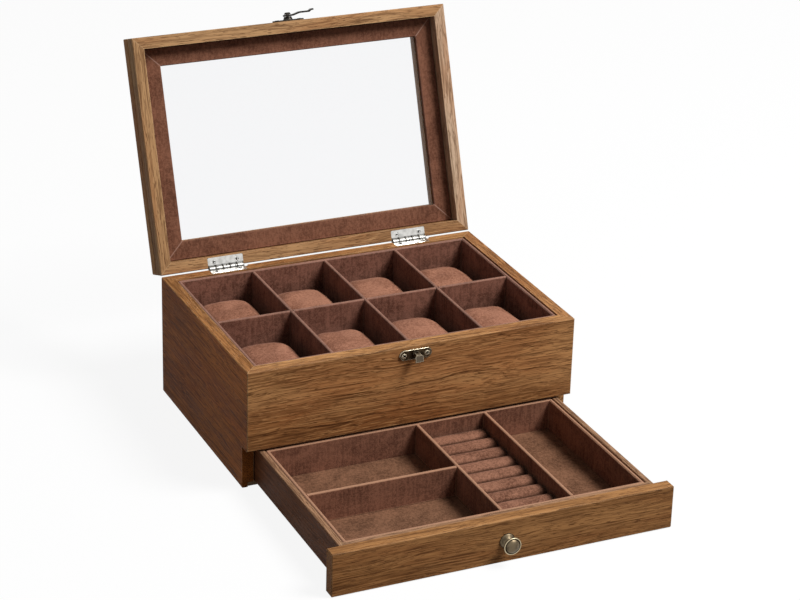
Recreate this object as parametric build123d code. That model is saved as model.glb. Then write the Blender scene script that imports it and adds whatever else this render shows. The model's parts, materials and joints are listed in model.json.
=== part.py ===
from build123d import *
import math
import os

# A wooden watch box: eight lined compartments under a glazed, hinged lid, and a lined drawer below.
# Millimetres. X runs to the right, Y to the back, Z up. The origin is the centre of the footprint.
# The box is modelled with the lid open and the drawer pulled out.

# ---------------------------------------------------------------- case
case_width = 290.0
case_depth = 202.0
case_height = 107.0
side_wall = 10.0
front_wall = 11.0
upper_front_height = 69.5
edge_break = 0.6
deck_thickness = 4.0
deck_above_front_edge = 2.0
deck_groove_depth = 4.0
bottom_board_thickness = 3.2
bottom_rabbet_width = 5.0
felt_thickness = 0.8
felt_inset = 2.0
board_slack = 0.2

# ---------------------------------------------------------------- velvet-covered card
lining_thickness = 3.0
lining_gap = 0.5
lining_below_rim = 0.8
lining_corner_fold = 1.5
lining_edge_fold = 0.8
floor_card_thickness = 1.5
divider_thickness = 3.0
divider_edge_radius = 1.2
card_gap = 0.3
cross_lap_slack = 0.1
columns = 4
rows = 2

# ---------------------------------------------------------------- watch pillows
pillow_side_gap = 6.0
pillow_end_gap = 5.5
pillow_below_lining = 14.7
pillow_corner_radius = 9.0
pillow_draw_in = 1.3
pillow_corner_facets = 3
pillow_seat_gap = 0.3
# Each level is a share of the height, and how far the outline lies inside the full one.
pillow_levels = ((0.0, 4.0), (0.12, 1.0), (0.45, 0.0), (0.72, 1.2), (0.88, 4.6), (0.97, 11.0), (1.0, 19.0))

# ---------------------------------------------------------------- drawer
drawer_front_gap = 0.5
drawer_seat_gap = 0.3
drawer_side_clearance = 1.0
drawer_run_clearance = 0.4
drawer_back_clearance = 1.0
drawer_wall = 5.0
drawer_wall_below_front = 1.4
drawer_corner_rabbet = 2.5
drawer_bottom_thickness = 2.6
drawer_tail = 8.5
drawer_catch = 6.0
drawer_lining_below_rim = 0.4
ring_tray_width = 58.5
long_tray_width = 58.5
ring_pitch_wanted = 17.0
ring_roll_gap = 0.7
ring_roll_height = 14.2

# ---------------------------------------------------------------- knob
knob_base_radius = 6.5
knob_neck_radius = 3.1
knob_head_radius = 7.3
knob_foot_height = 1.2
knob_neck_start = 3.6
knob_neck_end = 6.0
knob_head_start = 9.0
knob_rim_width = 1.2
knob_rim_groove = 0.5
knob_crown_height = 1.8
knob_projection = 12.6
knob_screw_radius = 2.0
knob_screw_head_radius = 3.6
knob_screw_head_height = 1.8
knob_screw_reach = 8.0

# ---------------------------------------------------------------- lid
lid_seat_gap = 0.2
lid_lip_width = 10.0
lid_lip_height = 12.5
lid_rail_width = 26.0
lid_rail_height = 12.5
lid_rail_round = 2.5
lid_groove = 0.8
lid_opening_bevel = 1.5
glass_thickness = 3.0
glass_lap = 6.0
glass_slack = 0.3
velvet_frame_thickness = 2.0
velvet_frame_fold = 0.6
lid_open_angle = 109.5

# ---------------------------------------------------------------- butt hinges
hinge_length = 32.0
hinge_inset = 59.0
hinge_leaf_width = 9.0
hinge_leaf_thickness = 1.0
hinge_leaf_corner = 1.2
hinge_barrel_radius = 2.0
hinge_pin_radius = 0.95
hinge_pin_clearance = 0.05
hinge_knuckles = 4
hinge_knuckle_gap = 0.5
hinge_axis_behind_back = 0.6
hinge_slot_clearance = 0.5
hinge_screw_spacing = 20.8
hinge_screw_from_back = 5.2
hinge_mortise_slack = 0.1
hinge_notch_leg = 3.0
hinge_notch_overrun = 3.2

# ---------------------------------------------------------------- small flat-headed screws
screw_head_radius = 1.9
screw_head_height = 0.6
screw_shank_radius = 0.9
screw_shank_sides = 6
screw_length = 7.5
screw_fit = 0.03

# ---------------------------------------------------------------- latch and catch
plate_length = 28.6
plate_height = 9.0
plate_thickness = 1.2
plate_screw_spacing = 20.4
plate_edge_break = 0.3
catch_below_rim = 7.4
latch_above_lid_edge = 8.0
hub_height = 3.8
hub_base_radius = 4.2
hub_top_radius = 3.2
rivet_radius = 1.5
rivet_fit = 0.05
rivet_head_radius = 2.8
rivet_head_height = 1.7
rivet_head_bevel = 0.9
hook_thickness = 1.5
hook_running_gap = 0.2
hook_eye_radius = 4.0
hook_arm_width = 4.6
hook_length = 24.6
hook_step_at_keeper = 1.8
hook_step_at_tip = 3.2
hook_blade_half_width = 4.4
hook_blade_lower_half_width = 3.4
hook_flank_before_keeper = 2.6
hook_flank_past_keeper = 2.8
hook_shoulder_before_keeper = 5.0
hook_shoulder_past_keeper = 5.2
hook_level_before_keeper = 3.2
hook_level_past_keeper = 5.8
hook_tip_ramp = 2.0
keeper_neck_width = 4.0
keeper_neck_thickness = 1.4
keeper_neck_above_plate_centre = 1.5
keeper_clearance = 0.3
keeper_head_width = 7.0
keeper_head_drop = 6.2
keeper_head_thickness = 1.1
keeper_head_corner = 1.8

# ---------------------------------------------------------------- places worked out from the sizes
half_width = case_width / 2
front_face = -case_depth / 2
back_face = case_depth / 2
inner_half_width = half_width - side_wall
inner_back = back_face - side_wall
inner_front = front_face + front_wall
side_front_end = inner_front + drawer_seat_gap
front_lower_edge = case_height - upper_front_height
deck_underside = front_lower_edge + deck_above_front_edge
deck_top = deck_underside + deck_thickness
bottom_board_top = felt_thickness + bottom_board_thickness
lining_top = case_height - lining_below_rim
compartment_floor_top = deck_top + floor_card_thickness

lined_half_width = inner_half_width - lining_gap - lining_thickness
lined_front = inner_front + lining_gap + lining_thickness
lined_back = inner_back - lining_gap - lining_thickness
cell_width = (2 * lined_half_width - (columns - 1) * divider_thickness) / columns
cell_depth = (lined_back - lined_front - (rows - 1) * divider_thickness) / rows
pillow_height = lining_top - pillow_below_lining - compartment_floor_top - pillow_seat_gap

drawer_front_bottom = drawer_front_gap
drawer_front_top = front_lower_edge - drawer_front_gap
drawer_outer_half = inner_half_width - drawer_side_clearance
drawer_inner_half = drawer_outer_half - drawer_wall
drawer_wall_bottom = bottom_board_top + drawer_run_clearance
drawer_wall_top = drawer_front_top - drawer_wall_below_front
drawer_box_front = inner_front
drawer_box_end = inner_back - drawer_back_clearance
drawer_back_outer = drawer_box_end - drawer_tail
drawer_back_inner = drawer_back_outer - drawer_wall
drawer_inner_front = drawer_box_front + drawer_wall
drawer_travel = drawer_box_end - side_front_end - drawer_catch
drawer_floor_underside = drawer_wall_bottom + drawer_bottom_thickness
drawer_floor_top = drawer_floor_underside + floor_card_thickness
drawer_lining_top = drawer_wall_top - drawer_lining_below_rim
tray_half = drawer_inner_half - lining_gap - lining_thickness
tray_front = drawer_inner_front + lining_gap + lining_thickness
tray_back = drawer_back_inner - lining_gap - lining_thickness
right_divider_x = tray_half - long_tray_width - divider_thickness / 2
left_divider_x = right_divider_x - ring_tray_width - divider_thickness
cross_divider_y = (tray_front + tray_back) / 2
knob_height = (drawer_front_bottom + drawer_front_top) / 2

lid_bottom = case_height + lid_seat_gap
lid_lip_top = lid_bottom + lid_lip_height
lid_top = lid_lip_top + lid_rail_height
hinge_axis_y = back_face + hinge_axis_behind_back
hinge_axis_z = case_height + lid_seat_gap / 2
hinge_centres = (-half_width + hinge_inset, half_width - hinge_inset)
catch_z = case_height - catch_below_rim
latch_z = lid_bottom + latch_above_lid_edge
keeper_neck_z = catch_z + keeper_neck_above_plate_centre
keeper_reach = latch_z - keeper_neck_z
hook_base = hub_height + hook_running_gap
hook_blade_out = hook_base + hook_step_at_keeper
keeper_head_out = hook_blade_out + hook_thickness + keeper_clearance


# ---------------------------------------------------------------- helpers
def block(x0, x1, y0, y1, z0, z1):
    """A box between two corners."""
    middle = Pos((x0 + x1) / 2, (y0 + y1) / 2, (z0 + z1) / 2)
    return middle * Box(x1 - x0, y1 - y0, z1 - z0)


def prism(points, z0, z1):
    """An upright prism on a plan outline."""
    return Pos(0, 0, z0) * extrude(Polygon(*points, align=None), z1 - z0, dir=(0, 0, 1))


def rod(radius, start, end):
    """A round bar between two points."""
    line = Vector(*end) - Vector(*start)
    return extrude(Plane(origin=start, z_dir=line) * Circle(radius), line.length)


def eased_block(x0, x1, y0, y1, z0, z1, size=edge_break):
    """A box with every outer edge broken, as a board is after sanding."""
    plain = block(x0, x1, y0, y1, z0, z1)
    return chamfer(plain.edges(), size)


def save(shape, name):
    """Writes one sub-part, as one solid or as a group of separate solids."""
    export_step(shape, "parts/" + name + ".step")


def group(solids):
    """Puts loose solids side by side in one sub-part."""
    return Compound([piece for solid in solids for piece in solid.solids()])


def place_drawer(shape):
    """Moves a piece from the closed drawer to the pulled-out one."""
    return Pos(0, -drawer_travel, 0) * shape


def place_lid(shape):
    """Turns a piece of the closed lid about the hinge pins to the open lid."""
    axis = Pos(0, hinge_axis_y, hinge_axis_z)
    return axis * Rot(-lid_open_angle, 0, 0) * axis.inverse() * shape


# ---------------------------------------------------------------- screws
def screw_form(at, out, growth):
    """A flat head let in flush at the point, and a shank whose thread is kept as a few plain sides."""
    head = Pos(0, 0, -screw_head_height / 2) * Cylinder(screw_head_radius + growth, screw_head_height)
    section = RegularPolygon(screw_shank_radius + growth, screw_shank_sides)
    shank = extrude(section, -(screw_length + growth))
    return Plane(origin=at, z_dir=out) * (head + shank)


def screw(at, out):
    """A screw whose head ends at the point. out is the way the head faces."""
    return screw_form(at, out, 0)


def screw_bore(at, out):
    """The stepped hole that a screw sits in, a hair wider than the screw."""
    return screw_form(at, out, screw_fit)


# ---------------------------------------------------------------- hinges
def hinge_screw_points(centre, z):
    """The middles of the two screw heads in one leaf."""
    y = back_face - hinge_screw_from_back
    offset = hinge_screw_spacing / 2
    return [(centre - offset, y, z), (centre + offset, y, z)]


def knuckle_spans(centre, first):
    """The lengths of barrel that one leaf carries, every second knuckle from the left."""
    pitch = hinge_length / hinge_knuckles
    left = centre - hinge_length / 2
    spans = []
    for index in range(first, hinge_knuckles, 2):
        start = left + index * pitch + hinge_knuckle_gap / 2
        spans.append((start, start + pitch - hinge_knuckle_gap))
    return spans


def leaf_plate(centre, z0):
    """The flat part of a leaf, with its two far corners rounded."""
    x0 = centre - hinge_length / 2
    x1 = centre + hinge_length / 2
    far = back_face - hinge_leaf_width
    plate = block(x0, x1, far, hinge_axis_y, z0, z0 + hinge_leaf_thickness)
    corners = plate.edges().filter_by(Axis.Z).group_by(Axis.Y)[0]
    return fillet(corners, hinge_leaf_corner)


def leaf(centre, z0, first, head_z, out):
    """A hinge leaf: plate, knuckles, slots for the other leaf's knuckles and screw holes."""
    shape = leaf_plate(centre, z0)
    reach = hinge_barrel_radius + hinge_slot_clearance
    for x0, x1 in knuckle_spans(centre, 1 - first):
        slot = block(x0 - hinge_knuckle_gap, x1 + hinge_knuckle_gap, hinge_axis_y - reach,
                     hinge_axis_y + reach, z0 - reach, z0 + reach)
        shape -= slot
    bore = hinge_pin_radius + hinge_pin_clearance
    for x0, x1 in knuckle_spans(centre, first):
        shape += rod(hinge_barrel_radius, (x0, hinge_axis_y, hinge_axis_z), (x1, hinge_axis_y, hinge_axis_z))
    shape -= rod(bore, (centre - hinge_length, hinge_axis_y, hinge_axis_z),
                 (centre + hinge_length, hinge_axis_y, hinge_axis_z))
    for point in hinge_screw_points(centre, head_z):
        shape -= screw_bore(point, out)
    return shape


def hinge_pin(centre):
    """The pin through the knuckles, flush with their ends."""
    half = hinge_length / 2
    return rod(hinge_pin_radius, (centre - half, hinge_axis_y, hinge_axis_z),
               (centre + half, hinge_axis_y, hinge_axis_z))


def leaf_recess(centre, z0, z1):
    """The mortise for one leaf, as wide as the leaf and open at the back."""
    slack = hinge_mortise_slack
    x0 = centre - hinge_length / 2 - slack
    x1 = centre + hinge_length / 2 + slack
    return block(x0, x1, back_face - hinge_leaf_width - slack, back_face + 1, z0, z1)


def barrel_notch(centre):
    """The sloping notch behind a barrel in the back board, cut past its right end."""
    leg = hinge_notch_leg
    x0 = centre - hinge_length / 2
    x1 = centre + hinge_length / 2 + hinge_notch_overrun
    outline = Polygon((0, 0), (-leg, 0), (0, -leg), align=None)
    plane = Plane(origin=(x0, back_face, case_height), x_dir=(0, 1, 0), z_dir=(1, 0, 0))
    return extrude(plane * outline, x1 - x0)


def barrel_groove(centre):
    """The round groove in the lid's back edge that clears a barrel."""
    half = hinge_length / 2 + hinge_mortise_slack
    return rod(hinge_barrel_radius + hinge_slot_clearance, (centre - half, hinge_axis_y, hinge_axis_z),
               (centre + half, hinge_axis_y, hinge_axis_z))


# ---------------------------------------------------------------- case
def case_blank():
    """The outside of the case with its edges broken. The walls are cut from it."""
    return eased_block(-half_width, half_width, front_face, back_face, 0, case_height)


def deck_groove():
    """The groove round the inside for the deck board."""
    reach_x = inner_half_width + deck_groove_depth
    reach_front = inner_front - deck_groove_depth
    reach_back = inner_back + deck_groove_depth
    return block(-reach_x, reach_x, reach_front, reach_back, deck_underside, deck_top)


def bottom_rabbet():
    """The step round the lower inner edges for the bottom board and the felt."""
    reach_x = inner_half_width + bottom_rabbet_width
    reach_back = inner_back + bottom_rabbet_width
    return block(-reach_x, reach_x, side_front_end, reach_back, 0, bottom_board_top)


def catch_screw_points():
    """The middles of the catch's two screw heads."""
    y = front_face - plate_thickness
    offset = plate_screw_spacing / 2
    return [(-offset, y, catch_z), (offset, y, catch_z)]


def case_upper_front(blank):
    """The front above the drawer, mitred into the sides."""
    outline = [(-half_width, front_face), (half_width, front_face), (inner_half_width, inner_front),
               (-inner_half_width, inner_front)]
    board = blank & prism(outline, front_lower_edge, case_height)
    lower = board.edges().filter_by(Axis.X).group_by(Axis.Z)[0].sort_by(Axis.Y)[0]
    board = chamfer(lower, edge_break)
    board -= deck_groove()
    for point in catch_screw_points():
        board -= screw_bore(point, (0, -1, 0))
    return board


def case_side(blank, hand):
    """A side, full height at the back and stepped back below for the drawer front. hand is -1 or 1."""
    outer = hand * half_width
    inner = hand * inner_half_width
    outline = [(outer, front_face), (outer, back_face), (inner, inner_back), (inner, inner_front)]
    board = blank & prism(outline, 0, case_height)
    board -= block(-half_width, half_width, front_face - 1, side_front_end, -1, front_lower_edge)
    board -= deck_groove()
    board -= bottom_rabbet()
    return board


def case_back(blank):
    """The back, mitred into the sides, with the hinge mortises in its top edge."""
    outline = [(-half_width, back_face), (half_width, back_face), (inner_half_width, inner_back),
               (-inner_half_width, inner_back)]
    board = blank & prism(outline, 0, case_height)
    board -= deck_groove()
    board -= bottom_rabbet()
    for centre in hinge_centres:
        board -= leaf_recess(centre, case_height - hinge_leaf_thickness, case_height + 1)
        board -= barrel_notch(centre)
        for point in hinge_screw_points(centre, case_height):
            board -= screw_bore(point, (0, 0, 1))
    return board


def deck_board():
    """The board between the compartments and the drawer, let into the walls."""
    reach_x = inner_half_width + deck_groove_depth - board_slack
    reach_front = inner_front - deck_groove_depth + board_slack
    reach_back = inner_back + deck_groove_depth - board_slack
    return block(-reach_x, reach_x, reach_front, reach_back, deck_underside, deck_top)


def bottom_board():
    """The bottom, pinned into the step in the sides and back."""
    reach_x = inner_half_width + bottom_rabbet_width - board_slack
    reach_back = inner_back + bottom_rabbet_width - board_slack
    return block(-reach_x, reach_x, side_front_end, reach_back, felt_thickness, bottom_board_top)


def base_felt():
    """The felt glued under the bottom board, level with the walls' lower edges."""
    reach_x = inner_half_width + bottom_rabbet_width - felt_inset
    reach_back = inner_back + bottom_rabbet_width - felt_inset
    return block(-reach_x, reach_x, side_front_end + felt_inset, reach_back, 0, felt_thickness)


# ---------------------------------------------------------------- velvet-covered card
def lining_ring(half_x, y0, y1, z0, z1):
    """A card strip folded round the inside of a box. The sizes are its outer ones."""
    outside = block(-half_x, half_x, y0, y1, z0, z1)
    outside = chamfer(outside.edges().filter_by(Axis.Z), lining_corner_fold)
    wall = lining_thickness
    inside = block(-half_x + wall, half_x - wall, y0 + wall, y1 - wall, z0 - 1, z1 + 1)
    ring = outside - inside
    return chamfer(ring.edges().group_by(Axis.Z)[-1], lining_edge_fold)


def divider(x0, x1, y0, y1, z0, z1):
    """A card divider whose top edge is rounded by the velvet folded over it."""
    board = block(x0, x1, y0, y1, z0, z1)
    along = Axis.X if x1 - x0 > y1 - y0 else Axis.Y
    top = board.edges().filter_by(along).group_by(Axis.Z)[-1]
    return fillet(top, divider_edge_radius)


def column_x(index):
    """The middle of a column divider, counted from the left."""
    return -lined_half_width + (index + 1) * cell_width + (index + 0.5) * divider_thickness


def row_y(index):
    """The middle of a row divider, counted from the front."""
    return lined_front + (index + 1) * cell_depth + (index + 0.5) * divider_thickness


def lap_slot(x, y, z0, z1):
    """The slot that lets one divider pass another."""
    half = divider_thickness / 2 + cross_lap_slack
    return block(x - half, x + half, y - half, y + half, z0, z1)


def compartment_heights():
    """The bottom, the lap height and the top of the dividers in the compartments."""
    low = compartment_floor_top + card_gap
    high = lining_top - card_gap
    return low, (low + high) / 2, high


def column_divider(index):
    """A divider from front to back, slotted from below over the row divider."""
    low, lap, high = compartment_heights()
    x = column_x(index)
    half = divider_thickness / 2
    board = divider(x - half, x + half, lined_front + card_gap, lined_back - card_gap, low, high)
    for row in range(rows - 1):
        board -= lap_slot(x, row_y(row), low - 1, lap + cross_lap_slack)
    return board


def row_divider(index):
    """A divider from left to right, slotted from above for the column dividers."""
    low, lap, high = compartment_heights()
    y = row_y(index)
    half = divider_thickness / 2
    reach = lined_half_width - card_gap
    board = divider(-reach, reach, y - half, y + half, low, high)
    for column in range(columns - 1):
        board -= lap_slot(column_x(column), y, lap - cross_lap_slack, high + 1)
    return board


def compartment_lining():
    """The velvet-covered strip round the compartments."""
    reach_x = inner_half_width - lining_gap
    return lining_ring(reach_x, inner_front + lining_gap, inner_back - lining_gap, deck_top, lining_top)


def compartment_floor():
    """The velvet-covered floor of the compartments, on the deck board."""
    reach_x = lined_half_width - card_gap
    return block(-reach_x, reach_x, lined_front + card_gap, lined_back - card_gap, deck_top,
                 compartment_floor_top)


# ---------------------------------------------------------------- watch pillows
def pillow_plan(half_x, half_y):
    """A rectangle with facets round its corners, whose sides are drawn in between them."""
    corner = pillow_corner_radius
    points = []
    for side in range(4):
        along, across = (half_x, half_y) if side % 2 == 0 else (half_y, half_x)
        local = [(0, pillow_draw_in - across)]
        for step in range(pillow_corner_facets + 1):
            angle = math.radians(90 * step / pillow_corner_facets)
            local.append((along - corner + corner * math.sin(angle), corner - across - corner * math.cos(angle)))
        turn = math.radians(90 * side)
        points += [(x * math.cos(turn) - y * math.sin(turn), x * math.sin(turn) + y * math.cos(turn))
                   for x, y in local]
    return Polygon(*points, align=None)


def pillow_profile(half):
    """The pillow seen from one side: full in the middle of its height, with a crowned top."""
    right = [(half - inset, share * pillow_height) for share, inset in pillow_levels]
    left = [(-along, height) for along, height in reversed(right)]
    return Polygon(*right, *left, align=None)


def watch_pillow(column, row):
    """A stuffed pillow that fills most of its compartment. It is the part that its three outlines share."""
    half_x = cell_width / 2 - pillow_side_gap
    half_y = cell_depth / 2 - pillow_end_gap
    pillow = extrude(pillow_plan(half_x, half_y), pillow_height)
    across_x = extrude(Plane.XZ * pillow_profile(half_x), half_y, both=True)
    across_y = extrude(Plane.YZ * pillow_profile(half_y), half_x, both=True)
    x = -lined_half_width + (column + 0.5) * cell_width + column * divider_thickness
    y = lined_front + (row + 0.5) * cell_depth + row * divider_thickness
    return Pos(x, y, compartment_floor_top + pillow_seat_gap) * (pillow & across_x & across_y)


# ---------------------------------------------------------------- drawer
def knob_axis_point(y):
    """A point on the knob's centre line."""
    return (0, y, knob_height)


def drawer_front():
    """The front, as wide as the case and level with the upper front when the drawer is shut."""
    board = eased_block(-half_width, half_width, front_face, inner_front, drawer_front_bottom,
                        drawer_front_top)
    return board - rod(knob_screw_radius + screw_fit, knob_axis_point(front_face - 1),
                       knob_axis_point(inner_front + 1))


def drawer_bottom_rabbet():
    """The step round the lower inner edges of the drawer for its bottom."""
    reach = drawer_inner_half + drawer_corner_rabbet
    return block(-reach, reach, drawer_box_front + drawer_corner_rabbet,
                 drawer_back_outer - drawer_corner_rabbet, drawer_wall_bottom, drawer_floor_underside)


def drawer_side(hand):
    """A drawer side, rabbeted for the box front, grooved for the back and left long behind it."""
    low, high = sorted((hand * drawer_outer_half, hand * drawer_inner_half))
    board = block(low, high, drawer_box_front, drawer_box_end, drawer_wall_bottom, drawer_wall_top)
    board = chamfer(board.edges().filter_by(Axis.Y).group_by(Axis.Z)[-1], edge_break)
    reach = drawer_inner_half + drawer_corner_rabbet
    board -= block(-reach, reach, drawer_box_front - 1, drawer_inner_front, 0, case_height)
    board -= block(-reach, reach, drawer_back_inner, drawer_back_outer, 0, case_height)
    board -= drawer_bottom_rabbet()
    return board


def drawer_box_front_board():
    """The box front behind the drawer front, counterbored for the head of the knob's screw."""
    reach = drawer_inner_half + drawer_corner_rabbet
    board = block(-reach, reach, drawer_box_front, drawer_inner_front, drawer_wall_bottom, drawer_wall_top)
    board -= drawer_bottom_rabbet()
    board -= rod(knob_screw_radius + screw_fit, knob_axis_point(drawer_box_front - 1),
                 knob_axis_point(drawer_inner_front + 1))
    board -= rod(knob_screw_head_radius + screw_fit,
                 knob_axis_point(drawer_inner_front - knob_screw_head_height),
                 knob_axis_point(drawer_inner_front + 1))
    return board


def drawer_back_board():
    """The drawer's back, let into the sides a little before their ends."""
    reach = drawer_inner_half + drawer_corner_rabbet
    board = block(-reach, reach, drawer_back_inner, drawer_back_outer, drawer_wall_bottom, drawer_wall_top)
    return board - drawer_bottom_rabbet()


def drawer_bottom():
    """The drawer's bottom, pinned into the steps of its four walls."""
    reach = drawer_inner_half + drawer_corner_rabbet - board_slack
    start = drawer_box_front + drawer_corner_rabbet + board_slack
    end = drawer_back_outer - drawer_corner_rabbet - board_slack
    return block(-reach, reach, start, end, drawer_wall_bottom, drawer_floor_underside)


def drawer_lining():
    """The velvet-covered strip round the drawer."""
    reach = drawer_inner_half - lining_gap
    return lining_ring(reach, drawer_inner_front + lining_gap, drawer_back_inner - lining_gap,
                       drawer_floor_underside, drawer_lining_top)


def drawer_floor():
    """The velvet-covered floor of the drawer."""
    reach = tray_half - card_gap
    return block(-reach, reach, tray_front + card_gap, tray_back - card_gap, drawer_floor_underside,
                 drawer_floor_top)


def tray_divider(x):
    """A divider from front to back in the drawer."""
    half = divider_thickness / 2
    return divider(x - half, x + half, tray_front + card_gap, tray_back - card_gap,
                   drawer_floor_top + card_gap, drawer_lining_top - card_gap)


def cross_divider():
    """The divider between the two left trays."""
    half = divider_thickness / 2
    return divider(-tray_half + card_gap, left_divider_x - half - card_gap, cross_divider_y - half,
                   cross_divider_y + half, drawer_floor_top + card_gap, drawer_lining_top - card_gap)


def ring_roll(x0, x1, y, width):
    """One padded roll: flat below, with straight sides and a round top."""
    radius = width / 2
    z0 = drawer_floor_top + card_gap
    shoulder = ring_roll_height - radius
    outline = Polyline((-radius, shoulder), (-radius, 0), (radius, 0), (radius, shoulder))
    crown = ThreePointArc((radius, shoulder), (0, ring_roll_height), (-radius, shoulder))
    face = make_face([outline, crown])
    plane = Plane(origin=(x0, y, z0), x_dir=(0, 1, 0), z_dir=(1, 0, 0))
    return extrude(plane * face, x1 - x0)


def ring_rolls():
    """The row of padded rolls that hold rings between them."""
    room = tray_back - tray_front
    count = round(room / ring_pitch_wanted)
    pitch = room / count
    x0 = left_divider_x + divider_thickness / 2 + card_gap
    x1 = right_divider_x - divider_thickness / 2 - card_gap
    return group([ring_roll(x0, x1, tray_front + (index + 0.5) * pitch, pitch - ring_roll_gap)
                  for index in range(count)])


def knob():
    """The turned knob: a flared foot, a slim neck and a rimmed head with a low crown."""
    foot, neck, head = knob_base_radius, knob_neck_radius, knob_head_radius
    rim_top = knob_projection - knob_crown_height
    crown = head - knob_rim_width
    outline = Polyline((0, 0), (foot, 0), (foot, knob_foot_height), (neck, knob_neck_start),
                       (neck, knob_neck_end), (head, knob_head_start), (head, rim_top), (crown, rim_top),
                       (crown, rim_top - knob_rim_groove), (0, knob_projection), (0, 0))
    turned = revolve(Plane.XZ * make_face(outline), Axis.Z)
    bore = rod(knob_screw_radius + screw_fit, (0, 0, -1), (0, 0, knob_screw_reach + 0.5))
    plane = Plane(origin=knob_axis_point(front_face), z_dir=(0, -1, 0))
    return plane * (turned - bore)


def knob_screw():
    """The machine screw from inside the drawer into the knob."""
    head_plane = drawer_inner_front - knob_screw_head_height
    shank = rod(knob_screw_radius, knob_axis_point(front_face - knob_screw_reach), knob_axis_point(head_plane))
    head = rod(knob_screw_head_radius, knob_axis_point(head_plane), knob_axis_point(drawer_inner_front))
    return shank + head


# ---------------------------------------------------------------- lid
def mitred_rails(profile, width, z0):
    """Four rails of one section with mitred ends, for a frame as large as the lid.

    The section's first axis runs inwards from the outer face and its second runs up. width is how far
    in the rail reaches.
    """
    span_x = 2 * half_width
    span_y = case_depth
    starts = {
        "front": ((-half_width, front_face, z0), (0, 1, 0), (1, 0, 0), span_x),
        "right": ((half_width, front_face, z0), (-1, 0, 0), (0, 1, 0), span_y),
        "back": ((half_width, back_face, z0), (0, -1, 0), (-1, 0, 0), span_x),
        "left": ((-half_width, back_face, z0), (1, 0, 0), (0, -1, 0), span_y),
    }
    rails = {}
    for name, (origin, inwards, along, span) in starts.items():
        plane = Plane(origin=origin, x_dir=inwards, z_dir=along)
        bar = extrude(plane * profile, span)
        wedge_plane = Plane(origin=origin, x_dir=along, z_dir=(0, 0, 1))
        wedge = Polygon((0, 0), (span, 0), (span - width, width), (width, width), align=None)
        rails[name] = bar & extrude(wedge_plane * wedge, lid_top)
    return rails


def corner_ease(z0, z1):
    """The lid's outside between two heights with its four upright corners broken."""
    plain = block(-half_width, half_width, front_face, back_face, z0, z1)
    return chamfer(plain.edges().filter_by(Axis.Z), edge_break)


def lid_lips():
    """The four narrow rails that meet the case."""
    height = lid_lip_height
    profile = Polygon((edge_break, 0), (lid_lip_width, 0), (lid_lip_width, height), (lid_groove, height),
                      (0, height - lid_groove), (0, edge_break), align=None)
    rails = mitred_rails(profile, lid_lip_width, lid_bottom)
    blank = corner_ease(lid_bottom, lid_lip_top)
    return {name: rail & blank for name, rail in rails.items()}


def lid_top_rails():
    """The four wide rails round the glass, with a rebate for it and a rounded outer edge."""
    height = lid_rail_height
    width = lid_rail_width
    rebate = glass_thickness + glass_slack
    bend = lid_rail_round
    turn = bend * (1 - math.sqrt(0.5))
    outline = [
        Polyline((lid_groove, 0), (width - glass_lap, 0), (width - glass_lap, rebate), (width, rebate),
                 (width, height - lid_opening_bevel), (width - lid_opening_bevel, height), (bend, height)),
        ThreePointArc((bend, height), (turn, height - turn), (0, height - bend)),
        Polyline((0, height - bend), (0, lid_groove), (lid_groove, 0)),
    ]
    rails = mitred_rails(make_face(outline), width, lid_lip_top)
    blank = corner_ease(lid_lip_top, lid_top)
    return {name: rail & blank for name, rail in rails.items()}


def lid_glass():
    """The pane in the rebate of the top rails."""
    inset = lid_rail_width - glass_lap + glass_slack
    x = half_width - inset
    y = case_depth / 2 - inset
    return block(-x, x, -y, y, lid_lip_top, lid_lip_top + glass_thickness)


def lid_velvet_frame():
    """Four mitred strips of velvet-covered card that hide the rebate and hold the glass."""
    start = lid_lip_width + card_gap
    end = lid_rail_width
    thick = velvet_frame_thickness
    fold = velvet_frame_fold
    profile = Polygon((start, fold), (start + fold, 0), (end - fold, 0), (end, fold), (end, thick),
                      (start, thick), align=None)
    rails = mitred_rails(profile, lid_rail_width, lid_lip_top - thick)
    return group(rails.values())


# ---------------------------------------------------------------- latch and catch
def stadium_plate(z, out_face):
    """A thin plate with round ends, standing on a front face."""
    plane = Plane(origin=(0, out_face, z), x_dir=(1, 0, 0), z_dir=(0, -1, 0))
    outline = SlotOverall(plate_length, plate_height)
    plate = extrude(plane * outline, plate_thickness)
    return chamfer(plate.edges().group_by(Axis.Y)[0], plate_edge_break)


def keeper():
    """The catch's tongue: a neck out of the plate, turned down into a head that hides the hook's slot."""
    half_neck = keeper_neck_thickness / 2
    face = front_face - plate_thickness
    head_back = front_face - keeper_head_out
    head_face = head_back - keeper_head_thickness
    neck = block(-keeper_neck_width / 2, keeper_neck_width / 2, head_face, face, keeper_neck_z - half_neck,
                 keeper_neck_z + half_neck)
    top = keeper_neck_z + half_neck
    head = block(-keeper_head_width / 2, keeper_head_width / 2, head_face, head_back,
                 top - keeper_head_drop, top)
    corners = head.edges().filter_by(Axis.Y).group_by(Axis.Z)[-1]
    return neck + fillet(corners, keeper_head_corner)


def catch_plate():
    """The plate on the case that the hook catches."""
    plate = stadium_plate(catch_z, front_face)
    for point in catch_screw_points():
        plate -= screw_bore(point, (0, -1, 0))
    return plate + keeper()


def latch_screw_points():
    """The middles of the latch plate's two screw heads, on the closed lid."""
    y = front_face - plate_thickness
    offset = plate_screw_spacing / 2
    return [(-offset, y, latch_z), (offset, y, latch_z)]


def latch_plane(out):
    """A plane in front of the latch's pivot: first axis right, second up, normal outwards."""
    return Plane(origin=(0, front_face - out, latch_z), x_dir=(1, 0, 0), z_dir=(0, -1, 0))


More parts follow.
